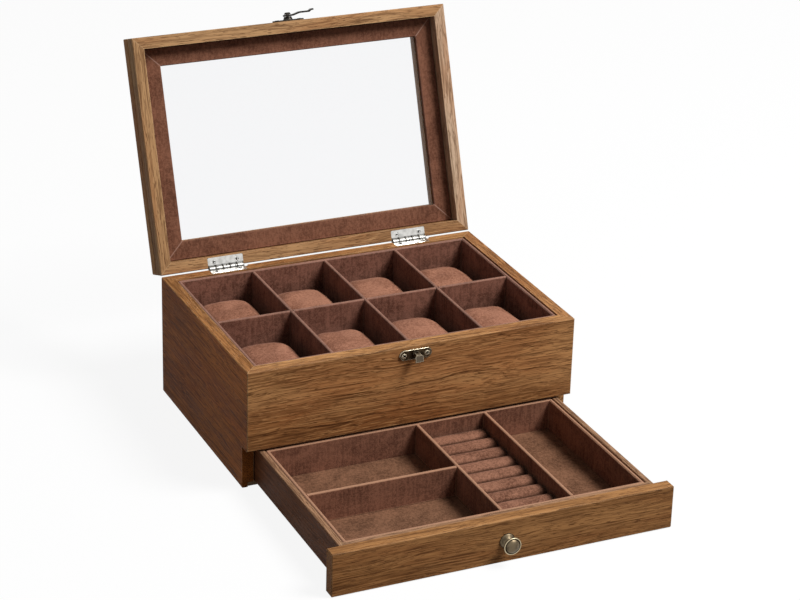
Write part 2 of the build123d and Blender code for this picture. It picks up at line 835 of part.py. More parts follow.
def latch_plate():
    """The plate on the lid, raised into a hub under the hook."""
    plate = stadium_plate(latch_z, front_face)
    rise = hub_height - plate_thickness
    hub = Pos(0, 0, rise / 2) * Cone(hub_base_radius, hub_top_radius, rise)
    plate += latch_plane(plate_thickness) * hub
    plate -= extrude(latch_plane(0) * Circle(rivet_radius + rivet_fit), hub_height + 1)
    for point in latch_screw_points():
        plate -= screw_bore(point, (0, -1, 0))
    return plate


def latch_rivet():
    """The rivet that the hook turns on, with a bevelled head."""
    start = hook_base + hook_thickness + hook_running_gap
    shank = extrude(latch_plane(0) * Circle(rivet_radius), start)
    rim = rivet_head_height - rivet_head_bevel
    crown = rivet_head_radius - rivet_head_bevel
    outline = Polygon((0, 0), (rivet_head_radius, 0), (rivet_head_radius, rim), (crown, rivet_head_height),
                      (0, rivet_head_height), align=None)
    head = revolve(Plane.XZ * outline, Axis.Z)
    return shank + latch_plane(start) * head


def hook_side_profile():
    """The hook seen from its edge: level at the pivot, a step out at the keeper and one at the tip."""
    reach = keeper_reach
    blade_start = reach - hook_level_before_keeper
    blade_end = reach + hook_level_past_keeper
    levels = ((-hook_eye_radius - 1, hook_base), (hook_eye_radius + 0.5, hook_base),
              (blade_start, hook_blade_out), (blade_end, hook_blade_out),
              (blade_end + hook_tip_ramp, hook_base + hook_step_at_tip),
              (hook_length + 1, hook_base + hook_step_at_tip))
    lower = [(along, out) for along, out in levels]
    upper = [(along, out + hook_thickness) for along, out in reversed(levels)]
    return Polygon(*lower, *upper, align=None)


def hook_front_outline():
    """The hook seen from the front, pointing right: eye, arm, blade with its slot, and finger tip."""
    reach = keeper_reach
    half_arm = hook_arm_width / 2
    blade = hook_blade_half_width
    tip = hook_length - half_arm
    shape = Circle(hook_eye_radius)
    shape += Polygon((0, -half_arm), (tip, -half_arm), (tip, half_arm), (0, half_arm), align=None)
    shape += Pos(tip, 0) * Circle(half_arm)
    lower = hook_blade_lower_half_width
    shoulder_start = reach - hook_shoulder_before_keeper
    shoulder_end = reach + hook_shoulder_past_keeper
    flank_start = reach - hook_flank_before_keeper
    flank_end = reach + hook_flank_past_keeper
    blade_points = ((shoulder_start, -half_arm), (flank_start, -lower), (flank_end, -lower),
                    (shoulder_end, -half_arm), (shoulder_end, half_arm), (flank_end, blade),
                    (flank_start, blade), (shoulder_start, half_arm))
    shape += Polygon(*blade_points, align=None)
    return shape - hook_slot()


def hook_slot():
    """The slot that the keeper's neck enters as the hook turns, an arc about the pivot."""
    half_neck = keeper_neck_thickness / 2
    corner = keeper_neck_width / 2
    inner = keeper_reach - half_neck - keeper_clearance
    outer = math.hypot(keeper_reach + half_neck, corner) + keeper_clearance
    past = math.atan2(corner + keeper_clearance, inner)
    ring = Circle(outer) - Circle(inner)
    far = 2 * hook_length
    opening = Polygon((0, 0), (far, -far), (far * math.cos(past), far * math.sin(past)), align=None)
    return ring & opening


def latch_hook():
    """The swinging hook at its place on the closed lid, turned to the right."""
    side_plane = Plane(origin=(0, front_face, latch_z + plate_length), x_dir=(1, 0, 0), z_dir=(0, 0, -1))
    strip = extrude(side_plane * hook_side_profile(), 2 * plate_length)
    outline = extrude(latch_plane(0) * hook_front_outline(), 2 * hub_height + plate_length)
    hook = strip & outline
    return hook - extrude(latch_plane(0) * Circle(rivet_radius + rivet_fit), plate_length)


# ---------------------------------------------------------------- putting it together
def save_case():
    """Writes the case and its boards."""
    blank = case_blank()
    save(case_upper_front(blank), "case_upper_front")
    save(case_side(blank, -1), "case_left_side")
    save(case_side(blank, 1), "case_right_side")
    save(case_back(blank), "case_back")
    save(deck_board(), "deck_board")
    save(bottom_board(), "bottom_board")
    save(base_felt(), "base_felt")


def save_compartments():
    """Writes the lining, the dividers and the pillows."""
    save(compartment_lining(), "compartment_lining")
    save(compartment_floor(), "compartment_floor")
    for index, name in enumerate(("left", "middle", "right")):
        save(column_divider(index), "column_divider_" + name)
    save(row_divider(0), "row_divider")
    for row, row_name in enumerate(("front", "back")):
        for column in range(columns):
            save(watch_pillow(column, row), "watch_pillow_" + row_name + "_" + str(column + 1))


def save_hinges():
    """Writes the two hinges, the case leaves as they are and the lid leaves turned with the lid."""
    lid_leaf_z = lid_bottom
    case_leaf_z = case_height - hinge_leaf_thickness
    case_screws = []
    lid_screws = []
    for name, centre in zip(("left", "right"), hinge_centres):
        save(leaf(centre, case_leaf_z, 0, case_height, (0, 0, 1)), "hinge_case_leaf_" + name)
        save(place_lid(leaf(centre, lid_leaf_z, 1, lid_bottom, (0, 0, -1))), "hinge_lid_leaf_" + name)
        case_screws += [screw(point, (0, 0, 1)) for point in hinge_screw_points(centre, case_height)]
        lid_screws += [screw(point, (0, 0, -1)) for point in hinge_screw_points(centre, lid_bottom)]
    save(group(case_screws), "hinge_case_screws")
    save(place_lid(group(lid_screws)), "hinge_lid_screws")
    save(group([hinge_pin(centre) for centre in hinge_centres]), "hinge_pins")


def save_drawer():
    """Writes the drawer, pulled out."""
    pieces = {
        "drawer_front": drawer_front(),
        "drawer_box_front": drawer_box_front_board(),
        "drawer_left_side": drawer_side(-1),
        "drawer_right_side": drawer_side(1),
        "drawer_back": drawer_back_board(),
        "drawer_bottom": drawer_bottom(),
        "drawer_lining": drawer_lining(),
        "drawer_floor": drawer_floor(),
        "drawer_divider_left": tray_divider(left_divider_x),
        "drawer_divider_right": tray_divider(right_divider_x),
        "drawer_cross_divider": cross_divider(),
        "ring_rolls": ring_rolls(),
        "drawer_knob": knob(),
        "knob_screw": knob_screw(),
    }
    for name, shape in pieces.items():
        save(place_drawer(shape), name)


def save_lid():
    """Writes the lid, open."""
    for name, rail in lid_top_rails().items():
        save(place_lid(rail), "lid_top_rail_" + name)
    lips = lid_lips()
    for centre in hinge_centres:
        lips["back"] -= leaf_recess(centre, lid_bottom - 1, lid_bottom + hinge_leaf_thickness)
        lips["back"] -= barrel_groove(centre)
        for point in hinge_screw_points(centre, lid_bottom):
            lips["back"] -= screw_bore(point, (0, 0, -1))
    for point in latch_screw_points():
        lips["front"] -= screw_bore(point, (0, -1, 0))
    for name, rail in lips.items():
        save(place_lid(rail), "lid_lip_" + name)
    save(place_lid(lid_glass()), "lid_glass")
    save(place_lid(lid_velvet_frame()), "lid_velvet_frame")


def save_latch():
    """Writes the catch on the case and the latch on the open lid."""
    save(catch_plate(), "catch_plate")
    save(group([screw(point, (0, -1, 0)) for point in catch_screw_points()]), "catch_screws")
    save(place_lid(latch_plate()), "latch_plate")
    save(place_lid(latch_rivet()), "latch_rivet")
    save(place_lid(latch_hook()), "latch_hook")
    save(place_lid(group([screw(point, (0, -1, 0)) for point in latch_screw_points()])), "latch_screws")


os.makedirs("parts", exist_ok=True)
save_case()
save_compartments()
save_hinges()
save_drawer()
save_lid()
save_latch()
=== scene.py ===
"""A wooden watch box with a glazed lid and a lined drawer: its finishes, soft pieces, small metal, light and camera."""
import json
import logging
import math
from dataclasses import dataclass, field
from enum import Enum
from functools import cache, reduce
from typing import Callable, Sequence

import bmesh
import bpy
from mathutils import Euler, Matrix, Vector, noise


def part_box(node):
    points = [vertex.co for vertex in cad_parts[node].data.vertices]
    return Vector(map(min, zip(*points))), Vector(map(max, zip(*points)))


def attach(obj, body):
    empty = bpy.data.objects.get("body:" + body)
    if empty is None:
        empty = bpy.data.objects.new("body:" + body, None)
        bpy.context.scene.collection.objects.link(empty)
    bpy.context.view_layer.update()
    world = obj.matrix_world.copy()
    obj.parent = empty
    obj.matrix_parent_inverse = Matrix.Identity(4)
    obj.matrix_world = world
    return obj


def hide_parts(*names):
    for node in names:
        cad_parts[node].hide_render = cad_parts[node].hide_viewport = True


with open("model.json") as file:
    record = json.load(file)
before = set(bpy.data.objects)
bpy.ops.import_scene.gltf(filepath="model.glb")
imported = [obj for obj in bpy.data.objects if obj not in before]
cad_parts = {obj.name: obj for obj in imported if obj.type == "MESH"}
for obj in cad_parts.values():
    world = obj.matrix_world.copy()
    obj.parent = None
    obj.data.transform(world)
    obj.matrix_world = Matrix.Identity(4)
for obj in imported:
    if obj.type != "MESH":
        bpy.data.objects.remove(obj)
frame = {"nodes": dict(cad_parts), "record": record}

LOG = logging.getLogger("watch_box")
Colour = tuple[float, float, float]
Output = bpy.types.NodeSocket
Node, NodeTree = bpy.types.Node, bpy.types.NodeTree
Material, Mesh, Object = bpy.types.Material, bpy.types.Mesh, bpy.types.Object

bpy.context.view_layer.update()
LID_LEAN = math.radians(-109.5)


# ---------------------------------------------------------------- node trees
@dataclass(frozen=True)
class Layer:
    """A layer of noise, the part of its range that is stretched to 0 to 1, and how much of it shows."""

    scale: tuple[float, float, float]
    detail: float
    low: float
    high: float
    share: float = 1.0
    bent: float = 0.0


CLOUD = Layer((3.5, 15, 18), 3, 0.4, 0.6)
BLUSH = Layer((6, 26, 30), 3, 0.5, 0.68, 0.5)
BAND = Layer((4, 95, 110), 3, 0.4, 0.62, 0.24)
PORES = Layer((120, 1300, 1500), 1, 0.6, 0.66)
LINES = Layer((13, 800, 900), 2, 0.57, 0.64, 0.5)
VEINED = Layer((8, 45, 45), 2, 0.44, 0.58)
BRUSHED = Layer((34, 34, 55), 3, 0.35, 0.65, bent=0.8)
EDGE_GAPS = Layer((160, 160, 160), 3, 0.35, 0.7)
PATINA = Layer((260, 260, 260), 4, 0.35, 0.7)
SMEARS = Layer((9, 30, 30), 3, 0.45, 0.8, 0.02)
RINGS_TO_THE_METRE = 52.0


class Tree:
    """A node tree that is being filled."""

    def __init__(self, tree: NodeTree) -> None:
        """Empties the tree, to start on it."""
        self.tree = tree
        tree.nodes.clear()

    def put(self, node: Node, inputs: dict) -> None:
        """Sets or links a node's inputs.

        Args:
            node: The node.
            inputs: Values or outputs by input name or number.
        """
        for name, value in inputs.items():
            socket = node.inputs[name]
            if isinstance(value, Output):
                self.tree.links.new(value, socket)
            else:
                socket.default_value = (*value, 1.0)[:4] if socket.type == "RGBA" else value

    def add(self, kind: str, inputs: dict | None = None, **settings: object) -> Node:
        """Adds a node.

        Args:
            kind: The node's type name.
            inputs: Values or outputs by input name or number.
            settings: The node's own properties.

        Returns:
            The new node.
        """
        node = self.tree.nodes.new(kind)
        for name, value in settings.items():
            setattr(node, name, value)
        self.put(node, inputs or {})
        return node

    def shared(self, maker: Callable[[], NodeTree], inputs: dict) -> Node:
        """Places a shared group with its own values."""
        return self.add("ShaderNodeGroup", inputs, node_tree=maker())

    def mask(self, maker: Callable[[], NodeTree], share: float, inputs: dict) -> Output:
        """Places a shared mask with its own values, and weakens it to its share."""
        return self.times(self.shared(maker, inputs).outputs["Mask"], share)

    def math(self, operation: str, first: object, second: object = 0.5, clamp: bool = False) -> Output:
        """Adds a sum, by Blender's name for it, of two numbers or outputs, and may keep it from 0 to 1."""
        return self.add("ShaderNodeMath", {0: first, 1: second}, operation=operation, use_clamp=clamp).outputs[0]

    def plus(self, first: object, second: object, clamp: bool = False) -> Output:
        """Adds two values up."""
        return self.math("ADD", first, second, clamp)

    def minus(self, first: object, second: object) -> Output:
        """Takes the second value from the first."""
        return self.math("SUBTRACT", first, second)

    def times(self, first: object, second: object, clamp: bool = False) -> Output:
        """Multiplies two values."""
        return self.math("MULTIPLY", first, second, clamp)

    def size(self, value: object) -> Output:
        """Drops a value's sign."""
        return self.math("ABSOLUTE", value)

    def most(self, *values: object) -> Output:
        """Finds the largest of some values."""
        return reduce(lambda first, second: self.math("MAXIMUM", first, second), values)

    def mix(self, share: object, first: object, second: object) -> Output:
        """Adds a mix of two colours, where the share is how much of the second one shows."""
        return self.add("ShaderNodeMix", {0: share, 6: first, 7: second}, data_type="RGBA").outputs[2]

    def ramp(self, value: object, low: float, high: float) -> Output:
        """Stretches a value smoothly so that low becomes 0 and high becomes 1, and keeps it there."""
        return self.add("ShaderNodeMapRange", {"Value": value, "From Min": low, "From Max": high}, clamp=True,
                        interpolation_type="SMOOTHSTEP").outputs["Result"]

    def axis(self, vector: object, name: str) -> Output:
        """Takes one axis of a place."""
        return self.add("ShaderNodeSeparateXYZ", {0: vector}).outputs[name]

    def shift(self, vector: object, amount: object) -> Output:
        """Moves a place across the grain, by an amount in metres along the second and third axes."""
        step = self.add("ShaderNodeCombineXYZ", {"Y": amount, "Z": amount}).outputs[0]
        return self.add("ShaderNodeVectorMath", {0: vector, 1: step}, operation="ADD").outputs[0]

    def noise(self, vector: object, scale: Sequence[float], detail: float = 2.0, bent: float = 0.0) -> Output:
        """Adds noise from 0 to 1, with a scale in grains to the metre along each axis."""
        place = self.add("ShaderNodeMapping", {"Vector": vector, "Scale": scale}, vector_type="POINT").outputs[0]
        inputs = {"Vector": place, "Scale": 1.0, "Detail": detail, "Distortion": bent}
        return self.add("ShaderNodeTexNoise", inputs).outputs["Fac"]

    def layer(self, vector: object, layer: Layer) -> Output:
        """Adds a layer of noise, from 0 to its share."""
        grains = self.noise(vector, layer.scale, layer.detail, layer.bent)
        return self.times(self.ramp(grains, layer.low, layer.high), layer.share)

    def bump(self, shader: Node, height: Output, strength: float, distance: float) -> None:
        """Gives a shader bumps of a height from 0 to 1, a distance deep in metres."""
        bump = self.add("ShaderNodeBump", {"Height": height, "Strength": strength, "Distance": distance})
        self.put(shader, {"Normal": bump.outputs[0]})

    def seen(self) -> Output:
        """Gives 1 for the rays that show a surface to the camera, straight, mirrored or through glass."""
        path = self.add("ShaderNodeLightPath")
        return self.most(*(path.outputs[f"Is {kind} Ray"] for kind in ("Camera", "Glossy", "Transmission")))


def new_group(name: str, kind: str, inputs: dict[str, str], outputs: dict[str, str]) -> tuple[Tree, Node, Node]:
    """Starts a node group.

    Args:
        name: The group's name.
        kind: Shader or Geometry.
        inputs: The kind of each input by name.
        outputs: The kind of each output by name.

    Returns:
        The tree, its input node and its output node.
    """
    tree = Tree(bpy.data.node_groups.new(name, kind + "NodeTree"))
    for way, sockets in (("INPUT", inputs), ("OUTPUT", outputs)):
        for socket, sort in sockets.items():
            tree.tree.interface.new_socket(socket, in_out=way, socket_type="NodeSocket" + sort)
    return tree, tree.add("NodeGroupInput"), tree.add("NodeGroupOutput")


@cache
def board_grain_group() -> NodeTree:
    """Builds the grain that every board shares. Its first axis runs along the grain.

    Returns:
        A group that puts out Color, Height, Rough and Mark, which is 1 on the pores and dark fibres.
    """
    tree, given, out = new_group(
        "Board grain", "Shader",
        {"Vector": "Vector", "Light": "Color", "Middle": "Color", "Dark": "Color", "Warm": "Color",
         "Streaks": "Float", "Veins": "Float"},
        {"Color": "Color", "Height": "Float", "Rough": "Float", "Mark": "Float"})
    straight, light, dark = given.outputs["Vector"], given.outputs["Light"], given.outputs["Dark"]
    place = tree.shift(straight, tree.times(tree.minus(tree.noise(straight, (9, 30, 30)), 0.5), 0.012))
    streak = tree.noise(place, (9, 520, 600), 4)
    fibre = tree.noise(place, (30, 1250, 1250), 3)
    pores = tree.layer(place, PORES)
    rise = tree.plus(tree.axis(place, "Z"), tree.times(tree.axis(place, "Y"), 0.7))
    bend = tree.times(tree.noise(straight, (3.5, 13, 13)), 1.9)
    jitter = tree.times(tree.noise(straight, (30, 90, 90), 3), 0.09)
    rings = tree.math("FRACT", tree.plus(tree.times(rise, RINGS_TO_THE_METRE), tree.plus(bend, jitter)))
    late = tree.times(tree.math("POWER", rings, 3.5), 0.3)
    vein = tree.times(tree.ramp(rings, 0.92, 0.965), tree.layer(straight, VEINED))
    vein = tree.times(tree.times(vein, tree.ramp(fibre, 0.36, 0.56)), given.outputs["Veins"])
    dark_streak = tree.times(tree.ramp(streak, 0.5, 0.66), given.outputs["Streaks"])
    base = tree.mix(tree.layer(straight, CLOUD), light, given.outputs["Middle"])
    for share, tone in ((tree.layer(straight, BLUSH), given.outputs["Warm"]),
                        (tree.layer(place, BAND), dark),
                        (tree.most(dark_streak, late, vein), dark),
                        (tree.times(tree.ramp(fibre, 0.48, 0.32), 0.75), light),
                        (tree.times(tree.ramp(fibre, 0.52, 0.68), 0.7), dark),
                        (tree.most(tree.times(pores, 0.7), tree.layer(place, LINES)), dark)):
        base = tree.mix(share, base, tone)
    tree.put(out, {"Color": base, "Height": tree.minus(tree.times(fibre, -0.5), tree.times(pores, 0.6)),
                   "Rough": tree.plus(0.45, tree.times(streak, 0.25)),
                   "Mark": tree.most(tree.ramp(fibre, 0.47, 0.6), tree.ramp(streak, 0.5, 0.62), pores)})
    return tree.tree


@cache
def pile_group() -> NodeTree:
    """Builds the short pile that every velvet shares.

    Returns:
        A group that puts out Color and Height.
    """
    tree, given, out = new_group(
        "Short pile", "Shader", {"Vector": "Vector", "Deep": "Color", "Lit": "Color", "Brushing": "Float"},
        {"Color": "Color", "Height": "Float"})
    place = given.outputs["Vector"]
    speckle = tree.noise(place, (1150, 1150, 1150))
    clumps = tree.noise(place, (430, 430, 430))
    nap = tree.noise(place, (520, 520, 45))
    tone = tree.plus(tree.times(speckle, 0.42), tree.times(clumps, 0.3))
    tone = tree.ramp(tree.plus(tone, tree.times(nap, 0.28)), 0.41, 0.59)
    swept = tree.times(tree.layer(place, BRUSHED), given.outputs["Brushing"])
    share = tree.plus(tree.times(tone, 0.72), swept, clamp=True)
    tree.put(out, {"Color": tree.mix(share, given.outputs["Deep"], given.outputs["Lit"]),
                   "Height": tree.plus(speckle, clumps)})
    return tree.tree


@cache
def edge_wear_and_highlight_group() -> NodeTree:
    """Builds a mask that is 1 on sharp edges and 0 on flat faces, broken up by noise: edge wear together with a painted
    highlight.

    Returns:
        A group that puts out Mask.
    """
    tree, given, out = new_group("Edge wear", "Shader", {"Vector": "Vector", "Radius": "Float", "Patchy": "Float"},
                                 {"Mask": "Float"})
    rounded = tree.add("ShaderNodeBevel", {"Radius": given.outputs["Radius"]}, samples=4)
    flat = tree.add("ShaderNodeNewGeometry")
    turn = tree.add("ShaderNodeVectorMath", {0: rounded.outputs[0], 1: flat.outputs["Normal"]},
                    operation="DOT_PRODUCT")
    edge = tree.ramp(tree.minus(1.0, turn.outputs["Value"]), 0.02, 0.25)
    kept = tree.minus(1.0, tree.times(tree.layer(given.outputs["Vector"], EDGE_GAPS), given.outputs["Patchy"]))
    tree.put(out, {"Mask": tree.times(edge, kept, clamp=True)})
    return tree.tree


@cache
def crevice_group() -> NodeTree:
    """Builds a mask, from ambient occlusion, that is 1 deep in gaps and corners and 0 on open faces: it paints shade
    there.

    Returns:
        A group that puts out Mask.
    """
    tree, given, out = new_group("Crevice", "Shader", {"Reach": "Float"}, {"Mask": "Float"})
    shut = tree.add("ShaderNodeAmbientOcclusion", {"Distance": given.outputs["Reach"]}, samples=8)
    tree.put(out, {"Mask": tree.ramp(shut.outputs["AO"], 0.82, 0.42)})
    return tree.tree


# ---------------------------------------------------------------- finishes
class Along(Enum):
    """Which way a board's grain runs."""

    WIDTH = (0.0, 0.0, 0.0)
    DEPTH = (0.0, 0.0, -90.0)
    LID_SIDE = (109.5, 0.0, -90.0)


def start_material(name: str) -> tuple[Material, Tree, Node, Output]:
    """Starts a material on Object coordinates.

    Args:
        name: The material's name.

    Returns:
        The material, its tree, its shader and the place socket.
    """
    material = bpy.data.materials.new(name)
    material.use_nodes = True
    tree = Tree(material.node_tree)
    shader = tree.add("ShaderNodeBsdfPrincipled")
    tree.add("ShaderNodeOutputMaterial", {"Surface": shader.outputs[0]})
    return material, tree, shader, tree.add("ShaderNodeTexCoord").outputs["Object"]


@dataclass(frozen=True)
class StainedWood:
    """Stained, satin-lacquered wood, paler above a given height, with edge wear and a painted highlight on its edges.
    """

    light: Colour = (0.63, 0.315, 0.122)
    middle: Colour = (0.38, 0.165, 0.057)
    dark: Colour = (0.085, 0.03, 0.01)
    warm: Colour = (0.42, 0.145, 0.045)
    # Worn edges, whose colour also paints the highlight that the edges catch.
    worn: Colour = (0.7, 0.48, 0.28)
    pale_top: Colour = (0.42, 0.25, 0.12)
    streaks: float = 0.46
    veins: float = 0.9
    wear: float = 0.75
    pale_top_share: float = 0.08
    mark_share: float = 0.62
    pale_top_blend: float = 0.0003

    def material(self, name: str, along: Along, seed: float, pale_top_from: float | None = None) -> Material:
        """Builds the finish for one board.

        Args:
            name: The board's name.
            along: Which way its grain runs.
            seed: Where in the grain the board is cut from.
            pale_top_from: The height above which the board is paler, in metres, or None.

        Returns:
            The material.
        """
        material, tree, shader, place = start_material("wood_" + name)
        turn = tree.add("ShaderNodeMapping", {
            "Vector": place, "Rotation": tuple(math.radians(angle) for angle in along.value),
            "Location": (seed * 1.37, seed * 0.61, seed * 0.83)})
        grain = tree.shared(board_grain_group, {
            "Vector": turn.outputs[0], "Light": self.light, "Middle": self.middle, "Dark": self.dark,
            "Warm": self.warm, "Streaks": self.streaks, "Veins": self.veins})
        base = grain.outputs["Color"]
        if pale_top_from is not None:
            above = tree.ramp(tree.axis(place, "Z"), pale_top_from - self.pale_top_blend, pale_top_from)
            pale = tree.mix(tree.times(grain.outputs["Mark"], self.mark_share), self.pale_top, self.dark)
            base = tree.mix(tree.times(above, self.pale_top_share), base, pale)
        # Edges: wear together with a painted highlight.
        wear = tree.mask(edge_wear_and_highlight_group, self.wear, {"Vector": place, "Radius": 0.0009, "Patchy": 0.35})
        tree.put(shader, {"Base Color": tree.mix(wear, base, self.worn), "Roughness": grain.outputs["Rough"],
                          "Specular IOR Level": 0.05})
        tree.bump(shader, grain.outputs["Height"], 0.6, 0.00025)
        return material


@dataclass(frozen=True)
class Corners:
    """Where the corners of a leaning, mitred frame are, once it is laid flat."""

    lean: float
    half_width: float
    half_depth: float
    middle: float

    @classmethod
    def of(cls, name: str) -> "Corners":
        """Measures a lid piece's CAD mesh.

        Args:
            name: The piece's name.

        Returns:
            Its corners.
        """
        flat = Matrix.Rotation(-LID_LEAN, 3, "X")
        points = [flat @ vertex.co for vertex in frame["nodes"][name].data.vertices]
        low, high = min(point.y for point in points), max(point.y for point in points)
        return cls(-LID_LEAN, max(abs(point.x) for point in points), (high - low) / 2, (high + low) / 2)

    def mitre(self, tree: Tree, place: Output) -> Output:
        """Draws the joins of a frame that is covered in strips.

        Args:
            tree: The material's tree.
            place: The place socket.

        Returns:
            A mask that is 1 on the joins.
        """
        level = tree.add("ShaderNodeMapping", {"Vector": place, "Rotation": (self.lean, 0, 0)}).outputs[0]
        side = tree.minus(self.half_width, tree.size(tree.axis(level, "X")))
        end = tree.minus(self.half_depth, tree.size(tree.minus(tree.axis(level, "Y"), self.middle)))
        return tree.ramp(tree.size(tree.minus(side, end)), 0.0009, 0.0003)


@dataclass(frozen=True)
class Velvet:
    """Short-pile velvet, with painted highlight on its folded edges and top band and painted shade in its creases,
    where these are set.
    """

    name: str
    deep: Colour
    lit: Colour
    brushing: float = 0.45
    sheen: float = 0.1
    bump: float = 0.35
    fold: Colour = (0.5, 0.31, 0.24)
    fold_highlight_share: float = 0.0
    crease_reach: float = 0.0
    rim_from: float | None = None
    rim_highlight_share: float = 0.45
    rim_blend: float = 0.0008
    join_share: float = 0.5

    def material(self, corners: Corners | None = None) -> Material:
        """Builds the finish.

        Args:
            corners: Where the joins of a mitred frame are, or None for a piece without them.

        Returns:
            The material.
        """
        material, tree, shader, place = start_material(self.name)
        pile = tree.shared(pile_group, {"Vector": place, "Deep": self.deep, "Lit": self.lit, "Brushing": self.brushing})
        base = pile.outputs["Color"]
        # Folded edges: painted highlight.
        if self.fold_highlight_share > 0:
            worn = tree.mask(edge_wear_and_highlight_group, self.fold_highlight_share, {"Vector": place, "Radius": 0.0022, "Patchy": 0.25})
            base = tree.mix(worn, base, self.fold)
        # The band along the top: painted highlight.
        if self.rim_from is not None:
            rim = tree.ramp(tree.axis(place, "Z"), self.rim_from, self.rim_from + self.rim_blend)
            base = tree.mix(tree.times(rim, self.rim_highlight_share), base, self.fold)
        # Creases and corners: painted shade, found by ambient occlusion.
        if self.crease_reach > 0:
            closed = tree.shared(crevice_group, {"Reach": self.crease_reach}).outputs["Mask"]
            shade = tree.times(tree.times(closed, 1.8, clamp=True), 0.8)
            base = tree.mix(shade, base, tuple(0.35 * part for part in self.deep))
        if corners is not None:
            base = tree.mix(tree.times(corners.mitre(tree, place), self.join_share), base, self.fold)
        tree.put(shader, {"Base Color": base, "Roughness": 0.95, "Specular IOR Level": 0.04,
                          "Sheen Weight": self.sheen, "Sheen Roughness": 0.45, "Sheen Tint": (0.9, 0.7, 0.6)})
        tree.bump(shader, pile.outputs["Height"], self.bump, 0.0003)
        return material


@dataclass(frozen=True)
class Knuckles:
    """Where the hinges' barrels are, and how they are divided."""

    centre_x: float
    length: float
    axis_y: float
    axis_z: float
    count: int = 5
    radius: float = 0.0032

    @classmethod
    def measured(cls) -> "Knuckles":
        """Takes the hinges' places from the frame.

        Returns:
            The barrels.
        """
        low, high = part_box("hinge_case_leaf_right")
        joints = frame["record"]["behaviour"]["joints"]
        hinge = next(joint for joint in joints if joint["name"] == "lid_hinge")
        return cls((low[0] + high[0]) / 2, high[0] - low[0], hinge["pos_m"][1], hinge["pos_m"][2])

    def masks(self, tree: Tree, place: Output) -> tuple[Output, Output]:
        """Finds the barrel and the joins between its knuckles.

        Args:
            tree: The material's tree.
            place: The place socket.

        Returns:
            A mask of the barrel and a mask of the joins.
        """
        flat = tree.add("ShaderNodeCombineXYZ", {"X": tree.axis(place, "Y"), "Y": tree.axis(place, "Z")})
        away = tree.add("ShaderNodeVectorMath", {0: flat.outputs[0], 1: (self.axis_y, self.axis_z, 0)},
                        operation="DISTANCE")
        barrel = tree.ramp(away.outputs["Value"], self.radius + 0.0002, self.radius)
        knuckle = self.length / self.count
        from_end = tree.minus(tree.size(tree.axis(place, "X")), self.centre_x - self.length / 2)
        turn = tree.math("FRACT", tree.plus(tree.math("DIVIDE", from_end, knuckle), 0.5))
        near = tree.times(tree.size(tree.minus(turn, 0.5)), knuckle)
        return barrel, tree.times(tree.ramp(near, 0.001, 0.0006), barrel)


@dataclass(frozen=True)
class Metal:
    """A metal with patina patches, brighter edges that show wear and a painted highlight, dirt and painted shade in
    crevices, and fine scratches.
    """

    name: str
    hollow: Colour
    face: Colour
    edge: Colour
    rough: float = 0.3
    scratches: float = 0.1
    wear_radius: float = 0.0006
    grime_and_shade: Colour = (0.012, 0.01, 0.008)
    grime_and_shade_reach: float = 0.0011
    proud_highlight_of: str = ""

    def material(self, knuckles: Knuckles | None = None) -> Material:
        """Builds the finish.

        Args:
            knuckles: The barrels, which get a painted dark reflection, and dirt and painted shade between their
                knuckles, or None.

        Returns:
            The material.
        """
        material, tree, shader, place = start_material(self.name)
        scratch = tree.noise(place, (300, 5200, 5200))
        base = tree.mix(tree.layer(place, PATINA), self.face, self.hollow)
        # Edges: wear together with a painted highlight in the edge colour.
        wear = tree.mask(edge_wear_and_highlight_group, 1.0, {"Vector": place, "Radius": self.wear_radius, "Patchy": 0.3})
        base = tree.mix(wear, base, self.edge)
        # Parts that stand proud of the plate's front: painted highlight in the edge colour.
        if self.proud_highlight_of:
            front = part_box(self.proud_highlight_of)[0][1]
            proud_highlight = tree.ramp(tree.axis(place, "Y"), front + 0.0045, front + 0.003)
            base = tree.mix(tree.times(proud_highlight, 0.2), base, self.edge)
        if knuckles is not None:
            barrel, join = knuckles.masks(tree, place)
            # The barrel: painted dark reflection. The joins between knuckles: dirt and painted shade.
            base = tree.mix(tree.times(barrel, 0.85), base, tuple(0.62 * part for part in self.hollow))
            base = tree.mix(tree.times(join, 0.92), base, self.grime_and_shade)
        # Crevices, found by ambient occlusion, and points marked recess (screw slots, the knob's groove): dirt and
        # painted shade.
        base = tree.mix(tree.mask(crevice_group, 0.9, {"Reach": self.grime_and_shade_reach}), base, self.grime_and_shade)
        # Points marked as the knob's rim ring get the edge colour: polish and a painted highlight.
        for mark, tone in (("polished", self.edge), ("recess", self.grime_and_shade)):
            base = tree.mix(tree.add("ShaderNodeAttribute", attribute_name=mark).outputs["Fac"], base, tone)
        rough = tree.plus(self.rough, tree.times(scratch, self.scratches))
        tree.put(shader, {"Base Color": base, "Metallic": 1.0, "Roughness": rough})
        tree.bump(shader, scratch, 0.12, 0.00003)
        return material


@dataclass(frozen=True)
class ClearGlass:
    """Clear float glass with faint smears."""

    name: str = "clear_glass"
    tint: Colour = (0.93, 0.932, 0.942)

    def material(self) -> Material:
        """Builds the finish, which lets light through to what lies behind it.

        Returns:
            The material.
        """
        material, tree, shader, place = start_material(self.name)
        tree.put(shader, {"Base Color": self.tint, "Transmission Weight": 1.0, "IOR": 1.45,
                          "Roughness": tree.layer(place, SMEARS)})
        clear = tree.add("ShaderNodeBsdfTransparent", {0: self.tint})
        path = tree.add("ShaderNodeLightPath")
        passed = tree.most(path.outputs["Is Shadow Ray"], path.outputs["Is Diffuse Ray"])
        both = tree.add("ShaderNodeMixShader", {0: passed, 1: shader.outputs[0], 2: clear.outputs[0]})
        out = next(node for node in tree.tree.nodes if node.type == "OUTPUT_MATERIAL")
        tree.put(out, {"Surface": both.outputs[0]})
        return material


